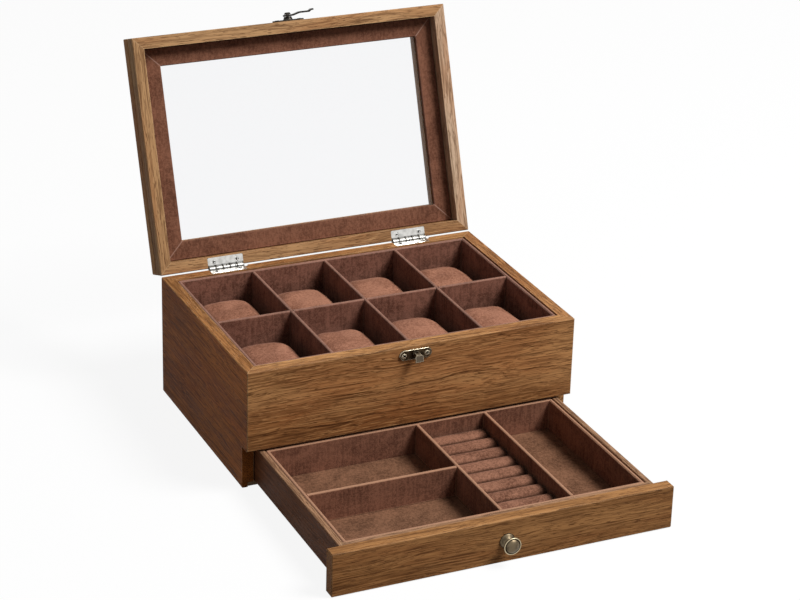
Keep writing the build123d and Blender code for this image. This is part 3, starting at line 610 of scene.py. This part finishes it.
# Linings: their folded edges and the band along their tops get a painted highlight.
LINING = Velvet("lining_velvet", (0.121, 0.049, 0.032), (0.298, 0.132, 0.09), fold_highlight_share=0.5, rim_from=0.1048,
                rim_highlight_share=0.26)
TRAY_LINING = Velvet("tray_velvet", (0.128, 0.051, 0.031), (0.295, 0.131, 0.08), fold=(0.52, 0.29, 0.18),
                     fold_highlight_share=0.9, rim_from=0.0338, rim_highlight_share=0.7)
# The tray floor's velvet: a yellower tint than the walls, and darker as painted shade.
SHADED_TRAY_FLOOR = Velvet("tray_floor_velvet", (0.105, 0.049, 0.027), (0.25, 0.122, 0.069))
# The rolls and the pillows get painted shade in their creases.
ROLLS = Velvet("roll_velvet", (0.132, 0.056, 0.034), (0.345, 0.164, 0.103), crease_reach=0.014)
LID_LINING = Velvet("lid_velvet", (0.12, 0.048, 0.029), (0.25, 0.108, 0.065), fold_highlight_share=0.3)
PILLOW = Velvet("pillow_velvet", (0.21, 0.085, 0.05), (0.44, 0.203, 0.127), brushing=0.5, sheen=0.12,
                crease_reach=0.018)
FELT = Velvet("base_felt", (0.03, 0.018, 0.013), (0.07, 0.045, 0.03), sheen=0.05)
NICKEL = Metal("nickel", (0.5, 0.49, 0.465), (0.67, 0.66, 0.63), (0.82, 0.82, 0.8), grime_and_shade=(0.04, 0.036, 0.03))
ANTIQUE_BRASS = Metal("antique_brass", (0.025, 0.018, 0.011), (0.12, 0.09, 0.053), (1.0, 0.9, 0.68),
                      scratches=0.15, wear_radius=0.0014, proud_highlight_of="catch_plate")
DARK_BRONZE = Metal("dark_bronze", (0.01, 0.009, 0.008), (0.03, 0.025, 0.02), (0.34, 0.32, 0.29), rough=0.28,
                    scratches=0.15, wear_radius=0.0004)
KNOB_BRONZE = Metal("knob_bronze", (0.06, 0.045, 0.028), (0.15, 0.114, 0.07), (0.52, 0.43, 0.28), rough=0.34,
                    scratches=0.15)
CASE_WOOD = StainedWood()
# A darker, redder copy of the case wood for the left side board: painted shade on the side that faces away from the
# lamp. Its top face takes the paler top tone at a large share.
SHADED_LEFT_SIDE_WOOD = StainedWood(light=(0.53, 0.176, 0.041), middle=(0.24, 0.064, 0.011), dark=(0.055, 0.014, 0.003),
                             warm=(0.36, 0.088, 0.018), pale_top=(0.4, 0.2, 0.075), pale_top_share=0.75)
DRAWER_FRONT_WOOD = StainedWood(light=(0.47, 0.225, 0.082), middle=(0.3, 0.128, 0.042), warm=(0.33, 0.115, 0.036))
LID_TOP_WOOD = StainedWood(wear=0.15)
LIP_WOOD = StainedWood(light=(0.56, 0.32, 0.15), middle=(0.37, 0.19, 0.083), dark=(0.12, 0.052, 0.021), veins=0.5)
# A paler copy of the lip wood for the right lip: a painted highlight.
HIGHLIT_LIP_WOOD = StainedWood(light=(0.7, 0.5, 0.34), middle=(0.52, 0.34, 0.205), dark=(0.18, 0.095, 0.05), veins=0.4)
DRAWER_WOOD = StainedWood(light=(0.23, 0.088, 0.037), middle=(0.155, 0.054, 0.022), dark=(0.055, 0.02, 0.009),
                          warm=(0.17, 0.05, 0.018), wear=0.8, pale_top=(0.52, 0.31, 0.18), pale_top_share=0.65)
THIN_BOARD = StainedWood(light=(0.5, 0.34, 0.2), middle=(0.4, 0.26, 0.14), dark=(0.25, 0.14, 0.07),
                         warm=(0.42, 0.26, 0.13), veins=0.2)


# ---------------------------------------------------------------- pieces
def room(name: str) -> tuple[Vector, Vector]:
    """Gives the lowest and highest corner of a CAD piece."""
    low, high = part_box(name)
    return Vector(low), Vector(high)


def dress_node(name: str, material: Material) -> None:
    """Gives a CAD piece its finish.

    Args:
        name: The piece's name.
        material: Its finish.
    """
    piece = frame["nodes"][name]
    if not piece.material_slots:
        piece.data.materials.append(material)
    for place in piece.material_slots:
        place.material = material


def new_object(name: str, data: bpy.types.ID) -> Object:
    """Adds an object to the scene.

    Args:
        name: Its name.
        data: Its mesh, lamp or camera.

    Returns:
        The object.
    """
    made = bpy.data.objects.new(name, data)
    bpy.context.scene.collection.objects.link(made)
    return made


def new_piece(name: str, mesh: Mesh, material: Material, body: str,
              nodes: Sequence[str]) -> Object:
    """Adds a piece that stands for CAD nodes.

    Args:
        name: The piece's name.
        mesh: Its mesh, in place.
        material: Its finish.
        body: The body that carries it.
        nodes: The CAD nodes that it stands for.

    Returns:
        The piece.
    """
    mesh.name = name
    piece = new_object(name, mesh)
    mesh.materials.clear()
    mesh.materials.append(material)
    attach(piece, body)
    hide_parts(*nodes)
    return piece


def evaluated(piece: Object) -> Mesh:
    """Makes a plain mesh of an object and its modifiers."""
    return bpy.data.meshes.new_from_object(piece.evaluated_get(bpy.context.evaluated_depsgraph_get()))


def smooth(mesh: Mesh) -> None:
    """Shades a mesh as a smooth surface."""
    mesh.polygons.foreach_set("use_smooth", [True] * len(mesh.polygons))


def mesh_of(shape: bmesh.types.BMesh, name: str) -> Mesh:
    """Turns a shape into a mesh and frees it.

    Args:
        shape: The shape.
        name: The mesh's name.

    Returns:
        The mesh.
    """
    mesh = bpy.data.meshes.new(name)
    shape.to_mesh(mesh)
    shape.free()
    return mesh


def join_rings(shape: bmesh.types.BMesh, rings: Sequence[list], steps: int) -> None:
    """Puts faces between neighbouring rings of points. A ring of one point gets triangles.

    Args:
        shape: The mesh that is being made.
        rings: The rings.
        steps: How many faces go round.
    """
    for low, high in zip(rings, rings[1:]):
        for step in range(steps):
            after = (step + 1) % steps
            corners = (low[step % len(low)], low[after % len(low)], high[after % len(high)], high[step % len(high)])
            shape.faces.new(list(dict.fromkeys(corners)))


def lathe(profile: Sequence[tuple[float, float]], steps: int, place: Matrix) -> Mesh:
    """Turns a profile about the Z axis of its place.

    Args:
        profile: Points from the middle of the foot to the middle of the top, as radius and height.
        steps: How many faces go round.
        place: Where the foot's middle is. Its Z is the way up.

    Returns:
        The closed mesh.
    """
    shape = bmesh.new()
    rings = []
    for radius, height in profile:
        angles = [2 * math.pi * step / steps for step in range(steps if radius > 0 else 1)]
        rings.append([shape.verts.new(place @ Vector((radius * math.cos(angle), radius * math.sin(angle), height)))
                      for angle in angles])
    join_rings(shape, rings, steps)
    bmesh.ops.recalc_face_normals(shape, faces=shape.faces)
    mesh = mesh_of(shape, "turned")
    smooth(mesh)
    return mesh


def mark(mesh: Mesh, name: str, inside: Callable[[Vector], bool]) -> None:
    """Marks the points of a mesh that are inside, for its finish."""
    marks = mesh.attributes.new(name, "FLOAT", "POINT")
    marks.data.foreach_set("value", [float(inside(vertex.co)) for vertex in mesh.vertices])


@dataclass
class PillowMaker:
    """Makes the eight stuffed watch pillows from one simulated cushion."""

    swell_limit: float = 0.0022
    side_inset: float = 0.0012
    voxel: float = 0.0034
    pressure: float = 4.0
    frames: int = 18
    top_power: float = 4.6
    foot_power: float = 5.0
    crown: float = 0.1
    pinch: float = 0.035
    crease_scale: float = 75
    crease_depth: float = 0.0011
    sag_scale: float = 24
    sag_depth: float = 0.0013

    def rounded_block(self, size: Vector) -> Object:
        """Makes the slack cover: a block with crowned faces.

        Args:
            size: Its whole size in metres.

        Returns:
            An object centred on the origin.
        """
        shape = bmesh.new()
        bmesh.ops.create_cube(shape, size=2.0)
        bmesh.ops.subdivide_edges(shape, edges=shape.edges, cuts=15, use_grid_fill=True)
        for vertex in shape.verts:
            x, y, z = vertex.co
            power = self.top_power if z > 0 else self.foot_power
            reach = (abs(x) ** power + abs(y) ** power + abs(z) ** power) ** (1 / power)
            point = Vector((x, y, z)) / reach
            crown = 1 - self.crown * (point.x ** 2 * 0.7 + point.y ** 2 * 0.8) if point.z > 0 else 1.0
            pinch = 1 - self.pinch * (1 - point.z ** 2)
            vertex.co = Vector((point.x * pinch * size.x / 2, point.y * pinch * size.y / 2,
                                point.z * crown * size.z / 2))
        return new_object("pillow_cover", mesh_of(shape, "pillow_cover"))

    def stuffed(self, size: Vector) -> Mesh:
        """Blows the cover up a little, as its filling does.

        Args:
            size: The slack cover's size in metres.

        Returns:
            The stuffed mesh, centred on the origin.
        """
        cover = self.rounded_block(size)
        remesh = cover.modifiers.new("Remesh", "REMESH")
        remesh.mode = "VOXEL"
        remesh.voxel_size = self.voxel
        start = evaluated(cover)
        cover.modifiers.clear()
        cover.data = start
        rest = [vertex.co.copy() for vertex in start.vertices]
        puffed = start.copy()
        cloth = cover.modifiers.new("Cloth", "CLOTH")
        cloth.settings.use_pressure = True
        cloth.settings.uniform_pressure_force = self.pressure
        cloth.settings.effector_weights.gravity = 0
        cloth.settings.quality = 5
        for step in range(1, self.frames + 1):
            bpy.context.scene.frame_set(step)
        puffed = evaluated(cover)
        cover.modifiers.clear()
        bpy.context.scene.frame_set(1)
        for vertex, origin in zip(puffed.vertices, rest):
            move = vertex.co - origin
            if move.length > self.swell_limit:
                move *= self.swell_limit / move.length
            vertex.co = origin + move
        cover.data = puffed
        finer = cover.modifiers.new("Subdivision", "SUBSURF")
        finer.levels = finer.render_levels = 1
        result = evaluated(cover)
        bpy.data.objects.remove(cover)
        return result

    def fit(self, mesh: Mesh, low: Vector, high: Vector) -> None:
        """Stretches a pillow into the room of its CAD solid.

        Args:
            mesh: The pillow.
            low: The room's lowest corner.
            high: The room's highest corner.
        """
        for axis in range(3):
            values = [vertex.co[axis] for vertex in mesh.vertices]
            start, end = min(values), max(values)
            stretch = (high[axis] - low[axis]) / (end - start)
            for vertex in mesh.vertices:
                vertex.co[axis] = low[axis] + (vertex.co[axis] - start) * stretch

    def build(self, finish: Material) -> int:
        """Puts a pillow into each compartment, each turned and creased a little differently.

        Args:
            finish: The pillows' velvet.

        Returns:
            How many pillows there are.
        """
        names = sorted(name for name in frame["nodes"] if name.startswith("watch_pillow"))
        low, high = room(names[0])
        inset = 2 * self.swell_limit
        base = self.stuffed(high - low - Vector((inset, inset, inset * 0.6)))
        for number, name in enumerate(names):
            low, high = room(name)
            centre = (low + high) / 2
            mesh = base.copy()
            flip = -1 if number % 2 else 1
            for vertex in mesh.vertices:
                local = Vector((vertex.co.x * flip, vertex.co.y * flip, vertex.co.z))
                crease = noise.noise(local * self.crease_scale + Vector((number * 7.3, 0, 0))) * self.crease_depth
                sag = noise.noise(local * self.sag_scale + Vector((0, number * 3.1, 0))) * self.sag_depth
                upper = max(local.z, 0) / ((high.z - low.z) / 2)
                vertex.co = local + Vector((0, 0, (crease + sag) * upper)) + centre
            self.fit(mesh, low + Vector((self.side_inset, 0, 0)), high - Vector((self.side_inset, 0, 0)))
            smooth(mesh)
            piece = new_piece(name + "_stuffed", mesh, finish, name.replace("watch_", ""), [name])
        return len(names)


@dataclass
class RingRolls:
    """The nine padded rolls that hold rings."""

    count: int = 9
    gap: float = 0.0007
    end_reach: float = 0.0035
    wave_depth: float = 0.00035
    steps_round: int = 22
    steps_along: int = 30

    def build(self, finish: Material) -> None:
        """Makes the rolls in the CAD group's place.

        Args:
            finish: The rolls' velvet.
        """
        low, high = room("ring_rolls")
        pitch = (high.y - low.y + self.gap) / self.count
        shape = bmesh.new()
        for number in range(self.count):
            self.roll(shape, low, high, low.y - self.gap / 2 + (number + 0.5) * pitch, (pitch - self.gap) / 2, number)
        bmesh.ops.recalc_face_normals(shape, faces=shape.faces)
        mesh = mesh_of(shape, "ring_rolls_padded")
        smooth(mesh)
        piece = new_piece("ring_rolls_padded", mesh, finish, "drawer", ["ring_rolls"])

    def roll(self, shape: bmesh.types.BMesh, low: Vector, high: Vector, middle: float, half: float,
             number: int) -> None:
        """Adds one roll whose ends draw in.

        Args:
            shape: The mesh that is being made.
            low: The group's lowest corner.
            high: The group's highest corner.
            middle: The roll's middle along the drawer.
            half: Half its width.
            number: Its number, which varies its creases.
        """
        height = high.z - low.z
        rings = []
        for along in range(self.steps_along + 1):
            share = along / self.steps_along
            x = low.x + share * (high.x - low.x)
            from_end = min(share, 1 - share) * (high.x - low.x)
            draw = math.sqrt(1 - max(0.0, 1 - from_end / self.end_reach) ** 2)
            ring = []
            for step in range(self.steps_round):
                angle = 2 * math.pi * step / self.steps_round
                y = abs(math.cos(angle)) ** 0.75 * math.copysign(1, math.cos(angle)) * half * (0.62 + 0.38 * draw)
                z = abs(math.sin(angle)) ** 0.8 * math.copysign(1, math.sin(angle))
                z = (0.5 + 0.5 * z) * height * (0.86 + 0.14 * draw)
                if z > height / 2:
                    z += noise.noise(Vector((x * 60, number * 5.0, angle))) * self.wave_depth
                ring.append(shape.verts.new((x, middle + y, low.z + max(z, 0))))
            rings.append(ring)
        join_rings(shape, rings, self.steps_round)
        shape.faces.new(rings[0])
        shape.faces.new(rings[-1])


@dataclass
class Knob:
    """The turned drawer knob with its rimmed head."""

    steps: int = 64
    foot: float = 0.0064
    neck: float = 0.0031

    def build(self, finish: Material) -> None:
        """Turns the knob on the drawer front.

        Args:
            finish: Its metal.
        """
        low, high = room("drawer_knob")
        out = high.y - low.y
        foot, neck, head = self.foot, self.neck, (high.x - low.x) / 2
        profile = [(0, 0), (foot, 0), (foot, 0.0004), (foot - 0.0002, 0.001), (foot - 0.0011, 0.0018),
                   (foot - 0.0024, 0.0028), (neck + 0.0002, 0.0040), (neck, 0.0050), (neck + 0.0003, 0.0060),
                   (neck + 0.0014, 0.0068), (head - 0.0018, 0.0077), (head - 0.0004, 0.0085), (head, 0.0089),
                   (head, 0.0094), (head - 0.0002, 0.0098), (head - 0.0005, 0.0100), (head - 0.0008, 0.0099),
                   (head - 0.0010, 0.0096), (head - 0.0012, 0.0093), (head - 0.0014, 0.0095),
                   (head - 0.0017, 0.0102), (head - 0.0023, 0.0109), (head - 0.0032, 0.0115),
                   (head * 0.42, out - 0.0005), (head * 0.2, out - 0.0001), (0, out)]
        middle = Vector(((low.x + high.x) / 2, high.y, (low.z + high.z) / 2))
        facing_front = Euler((math.radians(90), 0, 0)).to_matrix().to_4x4()
        mesh = lathe(profile, self.steps, Matrix.Translation(middle) @ facing_front)
        # The rim ring is marked for polish and a painted highlight, the groove for dirt and painted shade.
        for name, inner, outer, lowest, highest in (("polished", 0.0009, -1, 0.0096, 0.02),
                                                    ("recess", 0.00145, 0.00095, 0.009, 0.00965)):
            mark(mesh, name, lambda point: head - inner <= math.hypot(point.x - middle.x, point.z - middle.z)
                 <= head - outer and lowest <= middle.y - point.y <= highest)
        new_piece("drawer_knob_turned", mesh, finish, "drawer", ["drawer_knob"])


@dataclass
class ScrewRow:
    """The screws of one CAD node."""

    node: str
    body: str
    slot: str
    facing: Vector
    finish: Material
    seed: int
    lift: float = 0.00002
    flat_within: float = 0.00005
    head_within: float = 0.005

    def centres(self) -> list[Vector]:
        """Finds the middle of each screw's flat head in the CAD mesh.

        Returns:
            One point for each screw.
        """
        points = [vertex.co.copy() for vertex in frame["nodes"][self.node].data.vertices]
        top = max(point.dot(self.facing) for point in points)
        groups: list[list[Vector]] = []
        for point in points:
            if point.dot(self.facing) < top - self.flat_within:
                continue
            near = next((group for group in groups if (group[0] - point).length < self.head_within), None)
            if near is None:
                groups.append([point])
            else:
                near.append(point)
        return [(Vector(map(min, *group)) + Vector(map(max, *group))) / 2 for group in groups]


@dataclass
class ScrewHeads:
    """Cross-slot screw heads, placed with one geometry node tree."""

    radius: float = 0.0019
    foot: float = -0.0006
    dome: float = 0.00035
    slot_width: float = 0.0009
    slot_length: float = 0.0029
    slot_depth: float = 0.0008
    largest_turn: float = 6.28
    steps: int = 28

    def head(self) -> Object:
        """Makes one head with its cross slot cut in, facing up.

        Returns:
            The head.
        """
        profile = [(0, self.foot), (self.radius, self.foot), (self.radius, 0), (self.radius * 0.93, self.dome * 0.35),
                   (self.radius * 0.6, self.dome * 0.8), (0, self.dome)]
        head = new_object("screw_head", lathe(profile, self.steps, Matrix.Identity(4)))
        shape = bmesh.new()
        for size in ((self.slot_length, self.slot_width), (self.slot_width, self.slot_length)):
            made = bmesh.ops.create_cube(shape, size=1.0)
            bmesh.ops.scale(shape, vec=(*size, 2 * self.slot_depth), verts=made["verts"])
            bmesh.ops.translate(shape, vec=(0, 0, self.dome), verts=made["verts"])
        cutter = new_object("screw_slot", mesh_of(shape, "screw_slot"))
        cut = head.modifiers.new("Slot", "BOOLEAN")
        cut.operation = "DIFFERENCE"
        cut.solver = "EXACT"
        cut.use_self = True
        cut.object = cutter
        done = evaluated(head)
        bpy.data.objects.remove(head)
        bpy.data.objects.remove(cutter)
        # The slots are marked for dirt and painted shade.
        mark(done, "recess", lambda point: -0.00055 < point.z < self.dome * 0.5 and point.length
             < self.slot_length * 0.6 and min(abs(point.x), abs(point.y)) < self.slot_width * 0.6)
        return new_object("screw_head", done)

    def tree(self, head: Object, finish: Material) -> NodeTree:
        """Builds the tree that puts a turned head on every point.

        Args:
            head: The head to repeat.
            finish: Its metal.

        Returns:
            The tree, whose Turn input varies the slots.
        """
        tree, given, out = new_group("Screw heads", "Geometry", {
            "Geometry": "Geometry", "Turn": "Float", "Seed": "Int"}, {"Geometry": "Geometry"})
        shape = tree.add("GeometryNodeObjectInfo", {"Object": head})
        random = tree.add("FunctionNodeRandomValue", {3: given.outputs["Turn"], "Seed": given.outputs["Seed"]},
                          data_type="FLOAT")
        normal = tree.add("GeometryNodeInputNamedAttribute", {"Name": "facing"}, data_type="FLOAT_VECTOR")
        aim = tree.add("FunctionNodeAlignRotationToVector", {"Vector": normal.outputs[0]}, axis="Z")
        spin = tree.add("FunctionNodeAxisAngleToRotation", {"Axis": (0, 0, 1), "Angle": random.outputs[1]})
        both = tree.add("FunctionNodeRotateRotation", {0: aim.outputs[0], 1: spin.outputs[0]},
                        rotation_space="LOCAL")
        place = tree.add("GeometryNodeInstanceOnPoints", {
            "Points": given.outputs["Geometry"], "Instance": shape.outputs["Geometry"], "Rotation": both.outputs[0]})
        real = tree.add("GeometryNodeRealizeInstances", {0: place.outputs[0]})
        painted = tree.add("GeometryNodeSetMaterial", {"Geometry": real.outputs[0], "Material": finish})
        tree.put(out, {0: painted.outputs[0]})
        return tree.tree

    def build(self, rows: Sequence[ScrewRow]) -> int:
        """Puts the heads where the CAD screws are.

        Args:
            rows: The groups of screws.

        Returns:
            How many screws there are.
        """
        head = self.head()
        total = 0
        for row in rows:
            points = [centre + row.facing * row.lift for centre in row.centres()]
            mesh = bpy.data.meshes.new(row.node)
            mesh.from_pydata([tuple(point) for point in points], [], [])
            facing = mesh.attributes.new("facing", "FLOAT_VECTOR", "POINT")
            for item in facing.data:
                item.vector = row.facing
            holder = new_object(row.node + "_points", mesh)
            modifier = holder.modifiers.new("Screws", "NODES")
            modifier.node_group = self.tree(head, row.finish)
            named = {item.name: item.identifier for item in modifier.node_group.interface.items_tree
                     if item.item_type == "SOCKET" and item.in_out == "INPUT"}
            modifier[named["Turn"]] = self.largest_turn
            modifier[named["Seed"]] = row.seed
            real = evaluated(holder)
            bpy.data.objects.remove(holder)
            new_piece(row.node + "_slotted", real, row.finish, row.body, [row.node])
            total += len(points)
        bpy.data.objects.remove(head)
        return total


# ---------------------------------------------------------------- sub-assemblies
@dataclass
class Case:
    """The wooden case, its linings and dividers."""

    pale_top_from: float = 0.1066
    boards: dict[str, Along] = field(default_factory=lambda: {
        "case_upper_front": Along.WIDTH, "case_left_side": Along.DEPTH, "case_right_side": Along.DEPTH,
        "case_back": Along.WIDTH})

    def dress(self, lining: Material) -> None:
        """Gives the boards and the card their finishes.

        Args:
            lining: The lining's velvet.
        """
        for number, (name, along) in enumerate(self.boards.items()):
            # The left side board gets the shaded copy of the case wood: painted shade.
            wood = SHADED_LEFT_SIDE_WOOD if name == "case_left_side" else CASE_WOOD
            dress_node(name, wood.material(name, along, number + 0.4, self.pale_top_from))
        for number, name in enumerate(("deck_board", "bottom_board")):
            dress_node(name, THIN_BOARD.material(name, Along.WIDTH, number + 9.1))
        dress_node("base_felt", FELT.material())
        for name in frame["nodes"]:
            if name.startswith(("compartment", "column_divider", "row_divider")):
                dress_node(name, lining)


@dataclass
class Drawer:
    """The drawer, its lining, trays and rolls."""

    pale_top_from: float = 0.0367
    pale_top_depth: float = 0.0002
    boards: dict[str, Along] = field(default_factory=lambda: {
        "drawer_box_front": Along.WIDTH, "drawer_left_side": Along.DEPTH, "drawer_right_side": Along.DEPTH,
        "drawer_back": Along.WIDTH})

    def dress(self, lining: Material) -> None:
        """Gives the boards and the card their finishes.

        Args:
            lining: The lining's velvet.
        """
        dress_node("drawer_front", DRAWER_FRONT_WOOD.material("drawer_front", Along.WIDTH, 5.2, self.pale_top_from))
        for number, (name, along) in enumerate(self.boards.items()):
            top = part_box(name)[1][2] - self.pale_top_depth
            dress_node(name, DRAWER_WOOD.material(name, along, number + 20.3, top))
        dress_node("drawer_bottom", THIN_BOARD.material("drawer_bottom", Along.WIDTH, 12.6))
        dress_node("drawer_floor", SHADED_TRAY_FLOOR.material())
        for name in ("drawer_lining", "drawer_divider_left", "drawer_divider_right", "drawer_cross_divider"):
            dress_node(name, lining)

    def build(self, rolls: Material, knob: Material) -> None:
        """Makes the rolls and the knob.

        Args:
            rolls: The rolls' velvet.
            knob: The knob's metal.
        """
        RingRolls().build(rolls)
        Knob().build(knob)
        dress_node("knob_screw", knob)


@dataclass
class Lid:
    """The glazed lid."""

    def dress(self) -> None:
        """Gives the rails, the velvet strips and the glass their finishes."""
        for number, side in enumerate(("front", "right", "back", "left")):
            along = Along.WIDTH if side in ("front", "back") else Along.LID_SIDE
            dress_node("lid_top_rail_" + side, LID_TOP_WOOD.material("lid_top_" + side, along, number + 30.7))
            # The right lip gets the painted-highlight copy of the lip wood.
            lip = HIGHLIT_LIP_WOOD if side == "right" else LIP_WOOD
            dress_node("lid_lip_" + side, lip.material("lid_lip_" + side, along, number + 40.9))
        dress_node("lid_velvet_frame", LID_LINING.material(Corners.of("lid_velvet_frame")))
        dress_node("lid_glass", ClearGlass().material())


@dataclass
class Fittings:
    """Hinges, latch and catch."""

    countersunk: float = -0.0003

    def dress(self) -> int:
        """Gives the metal its finishes and makes the screw heads.

        Returns:
            How many screws there are.
        """
        nickel, brass, bronze = NICKEL.material(Knuckles.measured()), ANTIQUE_BRASS.material(), DARK_BRONZE.material()
        for name in ("hinge_case_leaf_left", "hinge_case_leaf_right", "hinge_lid_leaf_left",
                     "hinge_lid_leaf_right", "hinge_pins"):
            dress_node(name, nickel)
        dress_node("catch_plate", brass)
        for name in ("latch_plate", "latch_hook", "latch_rivet"):
            dress_node(name, bronze)
        turn = Matrix.Rotation(LID_LEAN, 3, "X")
        return ScrewHeads().build([
            ScrewRow("hinge_case_screws", "case", "nickel", Vector((0, 0, 1)), nickel, 1, self.countersunk),
            ScrewRow("hinge_lid_screws", "lid", "nickel", turn @ Vector((0, 0, -1)), nickel, 2, self.countersunk),
            ScrewRow("catch_screws", "case", "antique_brass", Vector((0, -1, 0)), brass, 3),
            ScrewRow("latch_screws", "lid", "dark_bronze", turn @ Vector((0, -1, 0)), bronze, 4)])


# ---------------------------------------------------------------- studio
@dataclass(frozen=True)
class Studio:
    """Floor, light and camera."""

    key_power: float = 120.0
    key_size: float = 1.5
    key_direction: tuple[float, float, float] = (0.46, -0.36, 0.81)
    key_distance: float = 3.4
    fill_strength: float = 0.16
    shadow_share: float = 0.1
    floor_tone: float = 0.28
    floor_reach: float = 30.0
    camera_place: tuple[float, float, float] = (-0.78340, -1.75387, 0.96411)
    yaw: float = math.radians(24.935)
    pitch: float = math.radians(24.084)
    roll: float = math.radians(1.611)
    lens: float = 112.953

    def floor(self) -> None:
        """Lays a pale floor that shows white, with a soft shadow."""
        mesh = bpy.data.meshes.new("floor")
        reach = self.floor_reach
        mesh.from_pydata([(-reach, -reach, 0), (reach, -reach, 0), (reach, reach, 0), (-reach, reach, 0)], [],
                         [(0, 1, 2, 3)])
        floor = new_object("floor", mesh)
        material = bpy.data.materials.new("floor_white")
        material.use_nodes = True
        tree = Tree(material.node_tree)
        white = tree.add("ShaderNodeEmission", {"Color": (1, 1, 1), "Strength": 1.0})
        seen = tree.seen()
        matt = tree.add("ShaderNodeBsdfDiffuse", {"Color": tree.mix(seen, (self.floor_tone,) * 3, (1, 1, 1))})
        share = tree.times(seen, 1.0 - self.shadow_share)
        both = tree.add("ShaderNodeMixShader", {0: share, 1: matt.outputs[0], 2: white.outputs[0]})
        tree.add("ShaderNodeOutputMaterial", {"Surface": both.outputs[0]})
        mesh.materials.append(material)

    def world(self) -> None:
        """Fills the shadows a little, and shows white behind the object."""
        world = bpy.data.worlds.new("studio")
        world.use_nodes = True
        bpy.context.scene.world = world
        tree = Tree(world.node_tree)
        fill, white = (tree.add("ShaderNodeBackground", {"Color": (1, 1, 1), "Strength": strength})
                       for strength in (self.fill_strength, 1.0))
        both = tree.add("ShaderNodeMixShader", {0: tree.seen(), 1: fill.outputs[0], 2: white.outputs[0]})
        tree.add("ShaderNodeOutputWorld", {"Surface": both.outputs[0]})

    def lamps(self) -> None:
        """Hangs a large soft lamp above the front right."""
        data = bpy.data.lights.new("key", "AREA")
        data.shape = "DISK"
        data.size = self.key_size
        data.energy = self.key_power
        lamp = new_object("key", data)
        way = Vector(self.key_direction).normalized()
        lamp.location = way * self.key_distance
        lamp.rotation_mode = "QUATERNION"
        lamp.rotation_quaternion = way.to_track_quat("Z", "Y")

    def camera(self) -> None:
        """Stands the camera where the photograph was taken from."""
        yaw, pitch, roll = self.yaw, self.pitch, self.roll
        ahead = Vector((math.sin(yaw) * math.cos(pitch), math.cos(yaw) * math.cos(pitch), -math.sin(pitch)))
        right = Vector((math.cos(yaw), -math.sin(yaw), 0))
        up = right.cross(ahead)
        level_right = right * math.cos(roll) + up * math.sin(roll)
        level_up = up * math.cos(roll) - right * math.sin(roll)
        data = bpy.data.cameras.new("camera")
        data.sensor_width = 36.0
        data.lens = self.lens
        data.clip_start, data.clip_end = 0.05, 100
        camera = new_object("camera", data)
        turn = Matrix((level_right, level_up, -ahead)).transposed()
        camera.matrix_world = Matrix.Translation(self.camera_place) @ turn.to_4x4()
        bpy.context.scene.camera = camera

    def build(self) -> None:
        """Sets up everything round the object."""
        self.floor()
        self.world()
        self.lamps()
        self.camera()
        bpy.context.scene.view_settings.view_transform = "Standard"


def main() -> None:
    """Builds the object's sub-assemblies in order, then the studio."""
    logging.basicConfig(level=logging.INFO, format="%(message)s")
    Case().dress(LINING.material())
    LOG.info("case and compartments dressed")
    LOG.info("%d pillows stuffed", PillowMaker().build(PILLOW.material()))
    drawer = Drawer()
    drawer.dress(TRAY_LINING.material())
    drawer.build(ROLLS.material(), KNOB_BRONZE.material())
    LOG.info("drawer dressed")
    Lid().dress()
    LOG.info("lid dressed")
    LOG.info("%d screws placed", Fittings().dress())
    Studio().build()


if __name__ == "__main__":
    main()
